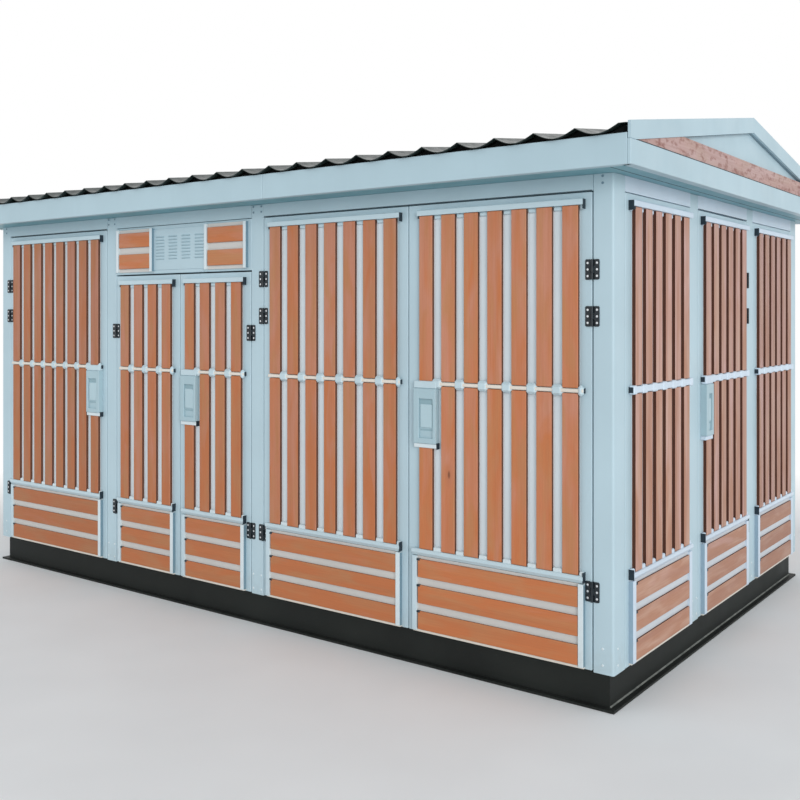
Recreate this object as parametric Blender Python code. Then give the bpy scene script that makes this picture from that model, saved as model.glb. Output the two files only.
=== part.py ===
# Compact substation: a free-standing steel transformer station with a low gabled roof,
# clad all round in timber battens, with five door leaves on its long front and one on an end.
# Metres, +Z up. The origin is the middle of the base's underside, the front faces -Y,
# and the end with the door faces +X.

import math
from collections import namedtuple

import bmesh
import bpy
from mathutils import Matrix, Vector

# Seat gap between pieces that touch, and the running gaps round the leaves
SEAT = 0.0003
DOOR_GAP = 0.005
PANEL_GAP = 0.003

# Long side, in the order seen from the front, left to right
FRONT_CORNER_LEG = 0.090
SINGLE_BAY = 1.000
MIDDLE_BAY = 1.106
DOUBLE_BAY = 1.846
FRONT_POST = 0.084

# End wall: three equal bays between two posts
END_CORNER_LEG = 0.110
END_BAY = 0.740
END_POST = 0.100

# Heights
BASE_HEIGHT = 0.150
OPENING_HEIGHT = 1.950
HEADER_HEIGHT = 0.065
VENT_HEIGHT = 0.275

# Frame and sheets, measured inwards from the wall face
POST_DEPTH = 0.060
HEADER_BACK = 0.028
LEAF_THICKNESS = 0.040
CORNER_RADIUS = 0.010
CORNER_SEGMENTS = 4
FLOOR_THICKNESS = 0.006
CEILING_THICKNESS = 0.006

# Base beam: an upright web with a foot that runs out to the wall's face and a shelf inwards
BASE_WEB = 0.008
BASE_FLANGE = 0.010
BASE_INSET = 0.032
BASE_SHELF = 0.080

# Cladding of the long walls and of the end walls: its margin on the leaf, the strips beside
# the planks, the slats, and how far a lock plate runs past its slat
Cladding = namedtuple("Cladding", "margin strip slat lock_reach")
LONG_CLADDING = Cladding(margin=0.033, strip=0.024, slat=0.072, lock_reach=0.026)
END_CLADDING = Cladding(margin=0.030, strip=0.030, slat=0.066, lock_reach=0.0)

# The large right leaf's rails and slats start further in, and its cladding ends further out
LARGE_RIGHT_INSET = 0.014
LARGE_RIGHT_REACH = 0.004

# Cladding heights, and depths outwards from the leaf's sheet
STRIP_PROUD = 0.022
SLAT_PITCH = 0.115
SLAT_PROUD = 0.020
TOP_RAIL_HEIGHT = 0.026
LOWER_RAIL_HEIGHT = 0.031
RAIL_PROUD = 0.027
TOP_RAIL_DROP = 0.030
MID_RAIL_LEVEL = 1.137
MID_BLOCK_HEIGHT = 0.045
MID_BLOCK_PROUD = 0.027
MID_BLOCK_LAP = 0.002
MID_BAR_HEIGHT = 0.016
MID_BAR_PROUD = 0.025
PLANK_HEIGHT = 0.083
PLANK_PITCH = 0.118
PLANK_LEVEL = 0.020
PLANK_COUNT = 3
PLANK_RAIL_GAP = 0.016
PLANK_BED_PROUD = 0.010
SUNK = 0.006

# Vent panel over the middle doors
VENT_MARGIN = 0.023
VENT_PLANK_LENGTH = 0.276
VENT_PLANK_COUNT = 2
VENT_PLANK_GAP = 0.039
VENT_EDGE = 0.032
VENT_STRIP = 0.020
VENT_PLATE_PROUD = 0.004
VENT_PLATE_WIDTH = 0.440

# Hinges
HINGE_HEIGHT = 0.083
HINGE_WIDTH = 0.062
HINGE_PLATE = 0.003
KNUCKLE_RADIUS = 0.006
KNUCKLE_SIDES = 12
KNUCKLE_CLEARANCE = 0.0005
PLATE_CLEARANCE = 0.0012
LOWER_HINGE_LEVEL = 0.325
TALL_HINGE_DROPS = (0.510, 0.320)
MIDDLE_HINGE_DROPS = (0.323,)

# Lock plates
LOCK_HEIGHT = 0.248
LOCK_PROUD = 0.032
PADDLE_OUTER_MARGIN = 0.029
PADDLE_INNER_MARGIN = 0.017
PADDLE_HEIGHT = 0.176
PADDLE_DROP = 0.047
PADDLE_RECESS = 0.010
PADDLE_RIM = 0.006
PADDLE_PROUD = 0.005

# Roof
EAVE_FRONT = 0.180
EAVE_END = 0.150
FASCIA_THICKNESS = 0.040
FRONT_FASCIA_HEIGHT = 0.121
END_FASCIA_HEIGHT = 0.098
RIDGE_RISE = 0.245
BARGE_HEIGHT = 0.075
BARGE_THICKNESS = 0.012
BARGE_CUT = 0.008
GABLE_PLANK_HEIGHT = 0.082
GABLE_PLANK_THICKNESS = 0.026
GABLE_SHEET = 0.006
WAVE_PITCH = 0.1815
WAVE_HEIGHT = 0.031
FIRST_CREST = 0.030
WAVE_SEGMENTS = 8
ROOF_SHEET = 0.006
SHEET_LIP = 0.020
RIDGE_SPLIT = 0.012
RIDGE_CAP_REACH = 0.130
RIDGE_CAP_THICKNESS = 0.005

LENGTH = 2 * FRONT_CORNER_LEG + 2 * FRONT_POST + SINGLE_BAY + MIDDLE_BAY + DOUBLE_BAY
WIDTH = 2 * END_CORNER_LEG + 2 * END_POST + 3 * END_BAY
HALF_LENGTH = LENGTH / 2
HALF_WIDTH = WIDTH / 2
OPENING_TOP = BASE_HEIGHT + OPENING_HEIGHT
MIDDLE_DOOR_HEIGHT = OPENING_HEIGHT - VENT_HEIGHT
SOFFIT = OPENING_TOP + HEADER_HEIGHT
ROOF_HALF_LENGTH = HALF_LENGTH + EAVE_END
ROOF_HALF_WIDTH = HALF_WIDTH + EAVE_FRONT
ROOF_SLOPE = RIDGE_RISE / ROOF_HALF_WIDTH
END_FASCIA_TOP = SOFFIT + END_FASCIA_HEIGHT
RIDGE_TOP = END_FASCIA_TOP + BARGE_HEIGHT - BARGE_CUT + RIDGE_RISE
LOWER_RAIL_LEVEL = PLANK_LEVEL + (PLANK_COUNT - 1) * PLANK_PITCH + PLANK_HEIGHT + PLANK_RAIL_GAP
MID_BLOCK_LOW = MID_RAIL_LEVEL - MID_BLOCK_HEIGHT / 2
MID_BLOCK_HIGH = MID_BLOCK_LOW + MID_BLOCK_HEIGHT
LOCK_LOW = MID_BLOCK_LOW - LOCK_HEIGHT
AXIS_PROUD = KNUCKLE_RADIUS + KNUCKLE_CLEARANCE

COLOURS = {
    "painted_steel": ((0.42, 0.58, 0.66), 0.45, 0.0),
    "timber": ((0.50, 0.20, 0.10), 0.60, 0.0),
    "black_steel": ((0.018, 0.020, 0.018), 0.55, 0.0),
    "roof_sheet": ((0.030, 0.045, 0.042), 0.35, 0.0),
}


# Materials and plain meshes

def material(name):
    """One Principled material for each finish."""
    found = bpy.data.materials.get(name)
    if found:
        return found
    colour, roughness, metallic = COLOURS[name]
    made = bpy.data.materials.new(name)
    made.use_nodes = True
    shader = made.node_tree.nodes["Principled BSDF"]
    shader.inputs["Base Color"].default_value = (*colour, 1.0)
    shader.inputs["Roughness"].default_value = roughness
    shader.inputs["Metallic"].default_value = metallic
    return made


def add_box(bm, low, high):
    """A box between two corners."""
    size = [high[i] - low[i] for i in range(3)]
    middle = [(high[i] + low[i]) / 2 for i in range(3)]
    place = Matrix.Translation(middle) @ Matrix.Diagonal((*size, 1.0))
    bmesh.ops.create_cube(bm, size=1.0, matrix=place)


def add_barrel(bm, middle, radius, height, sides):
    """An upright cylinder about a point."""
    bmesh.ops.create_cone(
        bm, cap_ends=True, segments=sides, radius1=radius, radius2=radius,
        depth=height, matrix=Matrix.Translation(middle),
    )


def add_prism(bm, outline, direction):
    """A flat outline of 3-D points swept along a vector."""
    face = bm.faces.new([bm.verts.new(point) for point in outline])
    swept = bmesh.ops.extrude_face_region(bm, geom=[face])
    moved = [item for item in swept["geom"] if isinstance(item, bmesh.types.BMVert)]
    bmesh.ops.translate(bm, vec=direction, verts=moved)
    bmesh.ops.recalc_face_normals(bm, faces=bm.faces)


def make_object(name, bm, finish):
    """Turn a bmesh into a named object with one material."""
    mesh = bpy.data.meshes.new(name)
    bm.to_mesh(mesh)
    bm.free()
    mesh.materials.append(material(finish))
    made = bpy.data.objects.new(name, mesh)
    bpy.context.scene.collection.objects.link(made)
    return made


def fuse(target, bm, operation="UNION"):
    """Join the boxes in bm to an object, or cut them from it, and keep the result as its mesh."""
    bpy.context.view_layer.update()
    tool = make_object(target.name + "_tool", bm, target.data.materials[0].name)
    tool.matrix_world = target.matrix_world.copy()
    boolean = target.modifiers.new("fuse", "BOOLEAN")
    boolean.operation = operation
    boolean.solver = "EXACT"
    boolean.use_self = operation == "UNION"
    boolean.object = tool
    graph = bpy.context.evaluated_depsgraph_get()
    result = bpy.data.meshes.new_from_object(target.evaluated_get(graph))
    target.modifiers.clear()
    target.data = result
    result.name = target.name
    bpy.data.objects.remove(tool, do_unlink=True)


# Walls: a wall's own frame has u to the right seen from outside, -Y outwards and z up

class Wall:
    def __init__(self, name, turn, half_run, reach, corner_leg, post, bays, cladding):
        self.name = name
        self.turn = turn
        self.half_run = half_run
        self.reach = reach
        self.corner_leg = corner_leg
        self.post = post
        self.bays = bays
        self.cladding = cladding

    def spans(self):
        """The u range of each bay, left to right."""
        found = []
        u = -self.half_run + self.corner_leg
        for width in self.bays:
            found.append((u, u + width))
            u += width + self.post
        return found

    def place(self, made, u=0.0, proud=0.0, z=0.0):
        """Set an object whose mesh is in the wall's frame, about a point of that frame."""
        spin = Matrix.Rotation(self.turn, 4, "Z")
        made.location = spin @ Vector((u, -(self.reach + proud), z))
        made.rotation_euler = (0.0, 0.0, self.turn)


FRONT_BAYS = [SINGLE_BAY, MIDDLE_BAY, DOUBLE_BAY]
LONG_PLAN = (HALF_LENGTH, HALF_WIDTH, FRONT_CORNER_LEG, FRONT_POST)
END_PLAN = (HALF_WIDTH, HALF_LENGTH, END_CORNER_LEG, END_POST)
FRONT = Wall("front", 0.0, *LONG_PLAN, FRONT_BAYS, LONG_CLADDING)
RIGHT = Wall("right", math.pi / 2, *END_PLAN, [END_BAY] * 3, END_CLADDING)
BACK = Wall("back", math.pi, *LONG_PLAN, FRONT_BAYS[::-1], LONG_CLADDING)
LEFT = Wall("left", -math.pi / 2, *END_PLAN, [END_BAY] * 3, END_CLADDING)
WALLS = [FRONT, RIGHT, BACK, LEFT]


# Base and floor

def base_beam(wall):
    """A folded beam under one wall, mitred at both ends."""
    web_in = BASE_INSET + BASE_WEB
    profile = [
        (0.0, 0.0),
        (0.0, BASE_FLANGE),
        (BASE_INSET, BASE_FLANGE),
        (BASE_INSET, BASE_HEIGHT),
        (BASE_SHELF, BASE_HEIGHT),
        (BASE_SHELF, BASE_HEIGHT - BASE_FLANGE),
        (web_in, BASE_HEIGHT - BASE_FLANGE),
        (web_in, 0.0),
    ]
    bm = bmesh.new()
    rings = []
    for side in (-1, 1):
        ring = []
        for inset, z in profile:
            u = side * (wall.half_run - inset - SEAT)
            ring.append(bm.verts.new((u, inset, z)))
        rings.append(ring)
    count = len(profile)
    for i in range(count):
        j = (i + 1) % count
        bm.faces.new([rings[0][i], rings[0][j], rings[1][j], rings[1][i]])
    bm.faces.new(rings[0])
    bm.faces.new(rings[1])
    bmesh.ops.recalc_face_normals(bm, faces=bm.faces)
    made = make_object("base_" + wall.name, bm, "black_steel")
    wall.place(made)


def floor_plate():
    """The floor inside the uprights, notched round the corner posts."""
    half_x = HALF_LENGTH - POST_DEPTH - SEAT
    half_y = HALF_WIDTH - POST_DEPTH - SEAT
    notch_x = HALF_LENGTH - FRONT_CORNER_LEG - SEAT
    notch_y = HALF_WIDTH - END_CORNER_LEG - SEAT
    outline = []
    for sx, sy in ((1, 1), (-1, 1), (-1, -1), (1, -1)):
        corner = [(sx * half_x, sy * notch_y), (sx * notch_x, sy * notch_y), (sx * notch_x, sy * half_y)]
        outline += corner if sx * sy > 0 else corner[::-1]
    bm = bmesh.new()
    low = BASE_HEIGHT + SEAT
    add_prism(bm, [(x, y, low) for x, y in outline], Vector((0.0, 0.0, FLOOR_THICKNESS)))
    make_object("floor_plate", bm, "black_steel")


# Frame

def corner_post(name, side_x, side_y):
    """A box post that fills the corner, its outer edge rounded."""
    outer = Vector((side_x * HALF_LENGTH, side_y * HALF_WIDTH, 0.0))
    inner = Vector((-side_x * FRONT_CORNER_LEG, -side_y * END_CORNER_LEG, 0.0))
    bm = bmesh.new()
    low = [min(0.0, inner.x), min(0.0, inner.y), 0.0]
    high = [max(0.0, inner.x), max(0.0, inner.y), SOFFIT - BASE_HEIGHT - 2 * SEAT]
    add_box(bm, low, high)
    edge = [
        e for e in bm.edges
        if all(abs(v.co.x) < SEAT and abs(v.co.y) < SEAT for v in e.verts)
    ]
    bmesh.ops.bevel(
        bm, geom=edge, offset=CORNER_RADIUS, segments=CORNER_SEGMENTS, profile=0.5, affect="EDGES",
    )
    made = make_object(name, bm, "painted_steel")
    made.location = outer + Vector((0.0, 0.0, BASE_HEIGHT + SEAT))
    return made


def post_mesh(width):
    """An upright whose top is notched at the back for the header."""
    low = SEAT
    high = SOFFIT - BASE_HEIGHT - SEAT
    notch = OPENING_HEIGHT - SEAT
    front = 0.0
    back = POST_DEPTH
    step = HEADER_BACK - SEAT
    outline = [(front, low), (back, low), (back, notch), (step, notch), (step, high), (front, high)]
    bm = bmesh.new()
    add_prism(bm, [(-width / 2, y, z) for y, z in outline], Vector((width, 0.0, 0.0)))
    return bm


def posts(wall):
    """The uprights between a wall's bays."""
    made = []
    spans = wall.spans()
    for index, (left, right) in enumerate(zip(spans, spans[1:])):
        post = make_object(f"{wall.name}_post_{index + 1}", post_mesh(wall.post), "painted_steel")
        wall.place(post, (left[1] + right[0]) / 2, 0.0, BASE_HEIGHT)
        made.append(post)
    return made


def header(wall):
    """The beam over the bays: its teeth fill the spaces between the uprights."""
    spans = wall.spans()
    inset = SEAT
    outline = [(spans[0][0] + inset, POST_DEPTH)]
    for index, (start, end) in enumerate(spans):
        outline.append((start + inset, 0.0))
        outline.append((end - inset, 0.0))
        if index < len(spans) - 1:
            outline.append((end - inset, HEADER_BACK))
            outline.append((spans[index + 1][0] + inset, HEADER_BACK))
    outline.append((spans[-1][1] - inset, POST_DEPTH))
    bm = bmesh.new()
    rise = Vector((0.0, 0.0, HEADER_HEIGHT - SEAT))
    add_prism(bm, [(u, y, 0.0) for u, y in outline], rise)
    made = make_object(wall.name + "_header", bm, "painted_steel")
    wall.place(made, 0.0, 0.0, OPENING_TOP)


# Cladding

def clad_ends(width, cladding, inset=0.0, reach=0.0):
    """The cladding's two ends about the leaf's middle."""
    return cladding.margin + inset - width / 2, width / 2 - cladding.margin + reach


def slat_spans(ends, cladding):
    """The u range of each slat between the cladding's two ends."""
    first = ends[0] + cladding.strip
    run = ends[1] - cladding.strip - cladding.slat - first
    count = round(run / SLAT_PITCH) + 1
    step = run / (count - 1)
    return [(first + i * step, first + i * step + cladding.slat) for i in range(count)]


def add_raised(bm, u, z, proud):
    """A raised rectangle, u and z being ranges, rooted in the sheet."""
    add_box(bm, (u[0], -proud, z[0]), (u[1], SUNK, z[1]))


def add_mid_rail(bm, left, right, slats):
    """The thin bar over the slats, with a block in each space between them."""
    edges = [left]
    for start, end in slats:
        edges += [start + MID_BLOCK_LAP, end - MID_BLOCK_LAP]
    edges.append(right)
    for u in zip(edges[::2], edges[1::2]):
        add_raised(bm, u, (MID_BLOCK_LOW, MID_BLOCK_HIGH), MID_BLOCK_PROUD)
    bar = (MID_RAIL_LEVEL - MID_BAR_HEIGHT / 2, MID_RAIL_LEVEL + MID_BAR_HEIGHT / 2)
    add_raised(bm, (left, right), bar, MID_BAR_PROUD)


def clad_mesh(ends, top, cladding, lock=None, inset=0.0):
    """Rails, slats and planks of one leaf, about its middle, z from the wall's foot.
    lock is -1 or 1 where the lock plate takes part of the left or right slat, and the planks
    start further left by the inset."""
    left, right = ends
    slats = slat_spans(ends, cladding)
    locked = {-1: slats[0], 1: slats[-1]}.get(lock)
    bm = bmesh.new()
    rail_top = top - TOP_RAIL_DROP
    rail_low = LOWER_RAIL_LEVEL
    add_raised(bm, (left, right), (rail_top - TOP_RAIL_HEIGHT, rail_top), RAIL_PROUD)
    add_raised(bm, (left, right), (rail_low, rail_low + LOWER_RAIL_HEIGHT), RAIL_PROUD)
    add_mid_rail(bm, left, right, slats)
    slat_low = rail_low + LOWER_RAIL_HEIGHT - SUNK
    slat_high = rail_top - TOP_RAIL_HEIGHT + SUNK
    for u in slats:
        if u == locked:
            add_raised(bm, u, (slat_low, LOCK_LOW - SEAT), SLAT_PROUD)
            add_raised(bm, u, (MID_BLOCK_LOW, MID_BLOCK_HIGH), MID_BLOCK_PROUD)
            add_raised(bm, u, (MID_BLOCK_HIGH - SUNK, slat_high), SLAT_PROUD)
        else:
            add_raised(bm, u, (slat_low, slat_high), SLAT_PROUD)
    left -= inset
    across = (left + SUNK, right - SUNK)
    add_raised(bm, across, (PLANK_LEVEL, rail_low + SUNK), PLANK_BED_PROUD)
    for index in range(PLANK_COUNT):
        z = PLANK_LEVEL + index * PLANK_PITCH
        add_raised(bm, across, (z, z + PLANK_HEIGHT), SLAT_PROUD)
    for u in ((left, left + cladding.strip), (right - cladding.strip, right)):
        add_raised(bm, u, (PLANK_LEVEL - SUNK, rail_low + SUNK), STRIP_PROUD)
    return bm


def sheet_mesh(width, low, top):
    """The folded sheet of a leaf as a slab, its face in the wall's plane."""
    bm = bmesh.new()
    add_box(bm, (-width / 2, 0.0, low), (width / 2, LEAF_THICKNESS, top))
    return bm


def fixed_panel(wall, index):
    """A clad panel that closes a bay and doesn't open."""
    start, end = wall.spans()[index]
    width = end - start - 2 * PANEL_GAP
    top = OPENING_HEIGHT - PANEL_GAP
    panel = make_object(f"{wall.name}_panel_{index + 1}", sheet_mesh(width, SEAT, top), "timber")
    ends = clad_ends(width, wall.cladding)
    fuse(panel, clad_mesh(ends, OPENING_HEIGHT, wall.cladding))
    wall.place(panel, (start + end) / 2, 0.0, BASE_HEIGHT)


def vent_panel():
    """The fixed panel over the middle doors: two pairs of short planks and a louvre plate."""
    start, end = FRONT.spans()[1]
    width = end - start - 2 * SEAT
    low = MIDDLE_DOOR_HEIGHT + PANEL_GAP
    top = OPENING_HEIGHT - PANEL_GAP
    panel = make_object("vent_panel", sheet_mesh(width, low, top), "painted_steel")
    bm = bmesh.new()
    half = width / 2 - VENT_MARGIN
    rows = VENT_PLANK_COUNT
    plank = (top - low - 2 * VENT_EDGE - (rows - 1) * VENT_PLANK_GAP) / rows
    for side in (-1, 1):
        outer = side * half
        inner = side * (half - 2 * VENT_STRIP - VENT_PLANK_LENGTH)
        for edge in (outer, inner + side * VENT_STRIP):
            u = sorted((edge, edge - side * VENT_STRIP))
            z = (low + VENT_EDGE - VENT_STRIP, top - VENT_EDGE + VENT_STRIP)
            add_raised(bm, u, z, STRIP_PROUD)
        across = sorted((outer - side * SUNK, inner + side * SUNK))
        for index in range(rows):
            z = low + VENT_EDGE + index * (plank + VENT_PLANK_GAP)
            add_raised(bm, across, (z, z + plank), SLAT_PROUD)
    plate = VENT_PLATE_WIDTH / 2
    add_raised(bm, (-plate, plate), (low + VENT_STRIP, top - VENT_STRIP), VENT_PLATE_PROUD)
    fuse(panel, bm)
    FRONT.place(panel, (start + end) / 2, 0.0, BASE_HEIGHT)


# Hinges: the axis is at the origin, the leaf's half lies towards side

def hinge_half(bm, side, level, knuckles):
    """One plate of a butt hinge with its knuckles. knuckles says which thirds it holds."""
    low = level - HINGE_HEIGHT / 2
    face = AXIS_PROUD
    near = KNUCKLE_RADIUS + PLATE_CLEARANCE
    u = sorted((side * near, side * HINGE_WIDTH / 2))
    add_box(bm, (u[0], face - HINGE_PLATE, low), (u[1], face + SUNK, low + HINGE_HEIGHT))
    third = HINGE_HEIGHT / 3
    for index in knuckles:
        z0 = low + index * third + (KNUCKLE_CLEARANCE / 2 if index else 0.0)
        z1 = low + (index + 1) * third - (KNUCKLE_CLEARANCE / 2 if index < 2 else 0.0)
        add_barrel(bm, (0.0, 0.0, (z0 + z1) / 2), KNUCKLE_RADIUS, z1 - z0, KNUCKLE_SIDES)
        tab = sorted((0.0, side * (near + HINGE_PLATE)))
        add_box(bm, (tab[0], face - HINGE_PLATE, z0), (tab[1], face - SEAT, z1))


def hinge_levels(top, drops):
    """Middles of a leaf's hinges: one near its foot, the others measured down from its top."""
    return [LOWER_HINGE_LEVEL] + [top - drop for drop in drops]


def add_frame_hinges(post, wall, axis_u, side, levels):
    """Fuse the frame's hinge halves to a post that stands in the wall's frame or the world's."""
    bm = bmesh.new()
    for level in levels:
        hinge_half(bm, side, level, (0, 2))
    spin = Matrix.Rotation(wall.turn, 4, "Z")
    axis = spin @ Vector((axis_u, -(wall.reach + AXIS_PROUD), BASE_HEIGHT))
    world = Matrix.Translation(axis) @ spin
    bpy.context.view_layer.update()
    bmesh.ops.transform(bm, matrix=post.matrix_world.inverted() @ world, verts=bm.verts)
    fuse(post, bm)


# Doors

def lock_plate(door, wall, leaf_middle, ends, side):
    """The plate between the mid rail and a short bar, with its paddle in a recess."""
    cladding = wall.cladding
    outer = ends[0] if side < 0 else ends[1]
    inner = outer - side * (cladding.strip + cladding.slat + cladding.lock_reach)
    edges = sorted((outer, inner))
    plate = bmesh.new()
    high = MID_BLOCK_LOW - SEAT
    add_box(plate, (edges[0], -LOCK_PROUD, LOCK_LOW), (edges[1], -SEAT, high))
    made = make_object(door + "_lock", plate, "painted_steel")
    pocket = bmesh.new()
    low = high - PADDLE_DROP - PADDLE_HEIGHT
    u = sorted((outer - side * PADDLE_OUTER_MARGIN, inner + side * PADDLE_INNER_MARGIN))
    reach = -LOCK_PROUD + PADDLE_RECESS
    add_box(pocket, (u[0], -LOCK_PROUD - SUNK, low), (u[1], reach, low + PADDLE_HEIGHT))
    fuse(made, pocket, "DIFFERENCE")
    paddle = bmesh.new()
    add_box(
        paddle, (u[0] + PADDLE_RIM, reach - PADDLE_PROUD, low + PADDLE_RIM),
        (u[1] - PADDLE_RIM, reach + SUNK, low + PADDLE_HEIGHT - PADDLE_RIM),
    )
    fuse(made, paddle)
    wall.place(made, leaf_middle, 0.0, BASE_HEIGHT)


def door_leaf(name, wall, start, end, top, hinge_side, levels, locked, inset=0.0, reach=0.0):
    """A leaf between two u lines. Its origin is on the hinge axis, at the wall's foot."""
    width = end - start
    middle = (start + end) / 2
    axis_u = middle + hinge_side * (width + DOOR_GAP) / 2
    lock = -hinge_side if locked else None
    leaf = make_object(name, sheet_mesh(width, DOOR_GAP, top - DOOR_GAP), "timber")
    ends = clad_ends(width, wall.cladding, inset, reach)
    fuse(leaf, clad_mesh(ends, top, wall.cladding, lock, inset))
    shift = Vector((middle - axis_u, AXIS_PROUD, 0.0))
    leaf.data.transform(Matrix.Translation(shift))
    halves = bmesh.new()
    for level in levels:
        hinge_half(halves, -hinge_side, level, (1,))
    fuse(leaf, halves)
    wall.place(leaf, axis_u, AXIS_PROUD, BASE_HEIGHT)
    if locked:
        lock_plate(name, wall, middle, ends, lock)
    return axis_u


def single_door(name, wall, index, hinge_side, levels):
    """One leaf in a bay."""
    start, end = wall.spans()[index]
    return door_leaf(
        name, wall, start + DOOR_GAP, end - DOOR_GAP, OPENING_HEIGHT, hinge_side, levels, True,
    )


def double_door(name, wall, index, top, levels, inset=0.0, reach=0.0):
    """Two leaves in a bay. The right one has the lock, and its cladding's ends may be moved."""
    start, end = wall.spans()[index]
    middle = (start + end) / 2
    left = door_leaf(
        name + "_left", wall, start + DOOR_GAP, middle - DOOR_GAP / 2, top, -1, levels, False,
    )
    right = door_leaf(
        name + "_right", wall, middle + DOOR_GAP / 2, end - DOOR_GAP, top, 1, levels, True,
        inset, reach,
    )
    return left, right


# Roof

def ceiling():
    """The sheet that closes the room and runs out under the eaves as the soffit."""
    half_x = ROOF_HALF_LENGTH - FASCIA_THICKNESS - SEAT
    half_y = ROOF_HALF_WIDTH - FASCIA_THICKNESS - SEAT
    low = SOFFIT + SEAT
    bm = bmesh.new()
    add_box(bm, (-half_x, -half_y, low), (half_x, half_y, low + CEILING_THICKNESS))
    make_object("soffit_ceiling", bm, "painted_steel")


def long_fascia(name, side):
    half_x = ROOF_HALF_LENGTH - FASCIA_THICKNESS - SEAT
    y = sorted((side * ROOF_HALF_WIDTH, side * (ROOF_HALF_WIDTH - FASCIA_THICKNESS)))
    bm = bmesh.new()
    add_box(bm, (-half_x, y[0], SOFFIT), (half_x, y[1], SOFFIT + FRONT_FASCIA_HEIGHT))
    make_object(name, bm, "painted_steel")


def end_fascia(name, side):
    x = sorted((side * ROOF_HALF_LENGTH, side * (ROOF_HALF_LENGTH - FASCIA_THICKNESS)))
    bm = bmesh.new()
    add_box(bm, (x[0], -ROOF_HALF_WIDTH, SOFFIT), (x[1], ROOF_HALF_WIDTH, END_FASCIA_TOP))
    make_object(name, bm, "painted_steel")


def rake_top(y):
    """Height of the bargeboard's upper edge at a distance y from the middle."""
    return RIDGE_TOP - ROOF_SLOPE * abs(y)


def rake_reach(z, drop):
    """Distance from the middle at which the rake line, lowered by drop, is at height z."""
    return (RIDGE_TOP - drop - z) / ROOF_SLOPE


def gable_prism(name, outline, outer, thickness, side, finish):
    """An upright piece of the gable, outline in (y, z), outer being its face's distance."""
    x = side * outer
    bm = bmesh.new()
    add_prism(bm, [(x, y, z) for y, z in outline], Vector((-side * thickness, 0.0, 0.0)))
    make_object(name, bm, finish)


def bargeboard(name, side, half):
    """One of the two sloping boards of a gable. half is -1 at the front, 1 at the back."""
    foot = END_FASCIA_TOP + SEAT
    heel = rake_reach(foot, BARGE_HEIGHT)
    near = SEAT / 2
    outline = [
        (near, rake_top(near)),
        (near, rake_top(near) - BARGE_HEIGHT),
        (heel, foot),
        (ROOF_HALF_WIDTH, foot),
        (ROOF_HALF_WIDTH, rake_top(ROOF_HALF_WIDTH)),
    ]
    outline = [(half * y, z) for y, z in outline]
    gable_prism(name, outline, ROOF_HALF_LENGTH, BARGE_THICKNESS, side, "painted_steel")


def gable_plank(name, side):
    """The timber along the gable's foot, its ends cut to the slope."""
    low = END_FASCIA_TOP + SEAT
    high = low + GABLE_PLANK_HEIGHT
    drop = BARGE_HEIGHT + SEAT
    reach_low = rake_reach(low, drop)
    reach_high = rake_reach(high, drop)
    outline = [(-reach_low, low), (reach_low, low), (reach_high, high), (-reach_high, high)]
    gable_prism(name, outline, ROOF_HALF_LENGTH, GABLE_PLANK_THICKNESS, side, "timber")


def gable_sheet(name, side):
    """The recessed triangle, fixed to the timber's back."""
    low = END_FASCIA_TOP + SEAT
    drop = BARGE_HEIGHT + SEAT
    outline = [(-rake_reach(low, drop), low), (rake_reach(low, drop), low), (0.0, RIDGE_TOP - drop)]
    face = ROOF_HALF_LENGTH - GABLE_PLANK_THICKNESS - SEAT
    gable_prism(name, outline, face, GABLE_SHEET, side, "painted_steel")


def wave_stations(half):
    """Places along the roof and the sheet's lift at each: sharp crests, wide hollows.
    From the first crest, a little way in, the sheet runs level to the right gable."""
    step = WAVE_PITCH / WAVE_SEGMENTS
    first = half - FIRST_CREST
    low = math.ceil((-half - first) / step)
    high = math.floor((half - first) / step)
    places = [-half] + [first + i * step for i in range(low, high + 1)] + [half]
    places = [x for i, x in enumerate(places) if i == 0 or x - places[i - 1] > SEAT]
    phases = [math.pi * (min(x, first) - first) / WAVE_PITCH for x in places]
    return [(x, WAVE_HEIGHT * (1.0 - abs(math.sin(phase)))) for x, phase in zip(places, phases)]


def roof_sheet(name, side):
    """One slope of corrugated sheet between the bargeboards, from the eave to the ridge."""
    half = ROOF_HALF_LENGTH - BARGE_THICKNESS - SEAT
    eave = ROOF_HALF_WIDTH + SHEET_LIP
    ridge = RIDGE_SPLIT / 2
    seat = SOFFIT + FRONT_FASCIA_HEIGHT + SEAT
    bm = bmesh.new()
    rows = []
    for x, lift in wave_stations(half):
        row = []
        for y in (eave, ridge):
            low = seat + ROOF_SLOPE * (ROOF_HALF_WIDTH - y) + lift
            row.append(bm.verts.new((x, side * y, low)))
            row.append(bm.verts.new((x, side * y, low + ROOF_SHEET)))
        rows.append(row)
    for a, b in zip(rows, rows[1:]):
        for i, j in ((0, 1), (1, 3), (3, 2), (2, 0)):
            bm.faces.new([a[i], a[j], b[j], b[i]])
    for row in (rows[0], rows[-1]):
        bm.faces.new([row[0], row[1], row[3], row[2]])
    bmesh.ops.recalc_face_normals(bm, faces=bm.faces)
    make_object(name, bm, "roof_sheet")


def ridge_cap():
    """The folded strip over the ridge, resting on the crests."""
    half = ROOF_HALF_LENGTH - BARGE_THICKNESS - SEAT
    crest = SOFFIT + FRONT_FASCIA_HEIGHT + SEAT + RIDGE_RISE + WAVE_HEIGHT + ROOF_SHEET
    low = crest + SEAT
    drop = ROOF_SLOPE * RIDGE_CAP_REACH
    thick = RIDGE_CAP_THICKNESS
    outline = [
        (0.0, low + thick), (-RIDGE_CAP_REACH, low + thick - drop), (-RIDGE_CAP_REACH, low - drop),
        (0.0, low), (RIDGE_CAP_REACH, low - drop), (RIDGE_CAP_REACH, low + thick - drop),
    ]
    bm = bmesh.new()
    add_prism(bm, [(-half, y, z) for y, z in outline], Vector((2 * half, 0.0, 0.0)))
    make_object("ridge_cap", bm, "roof_sheet")


# Assembly

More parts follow.
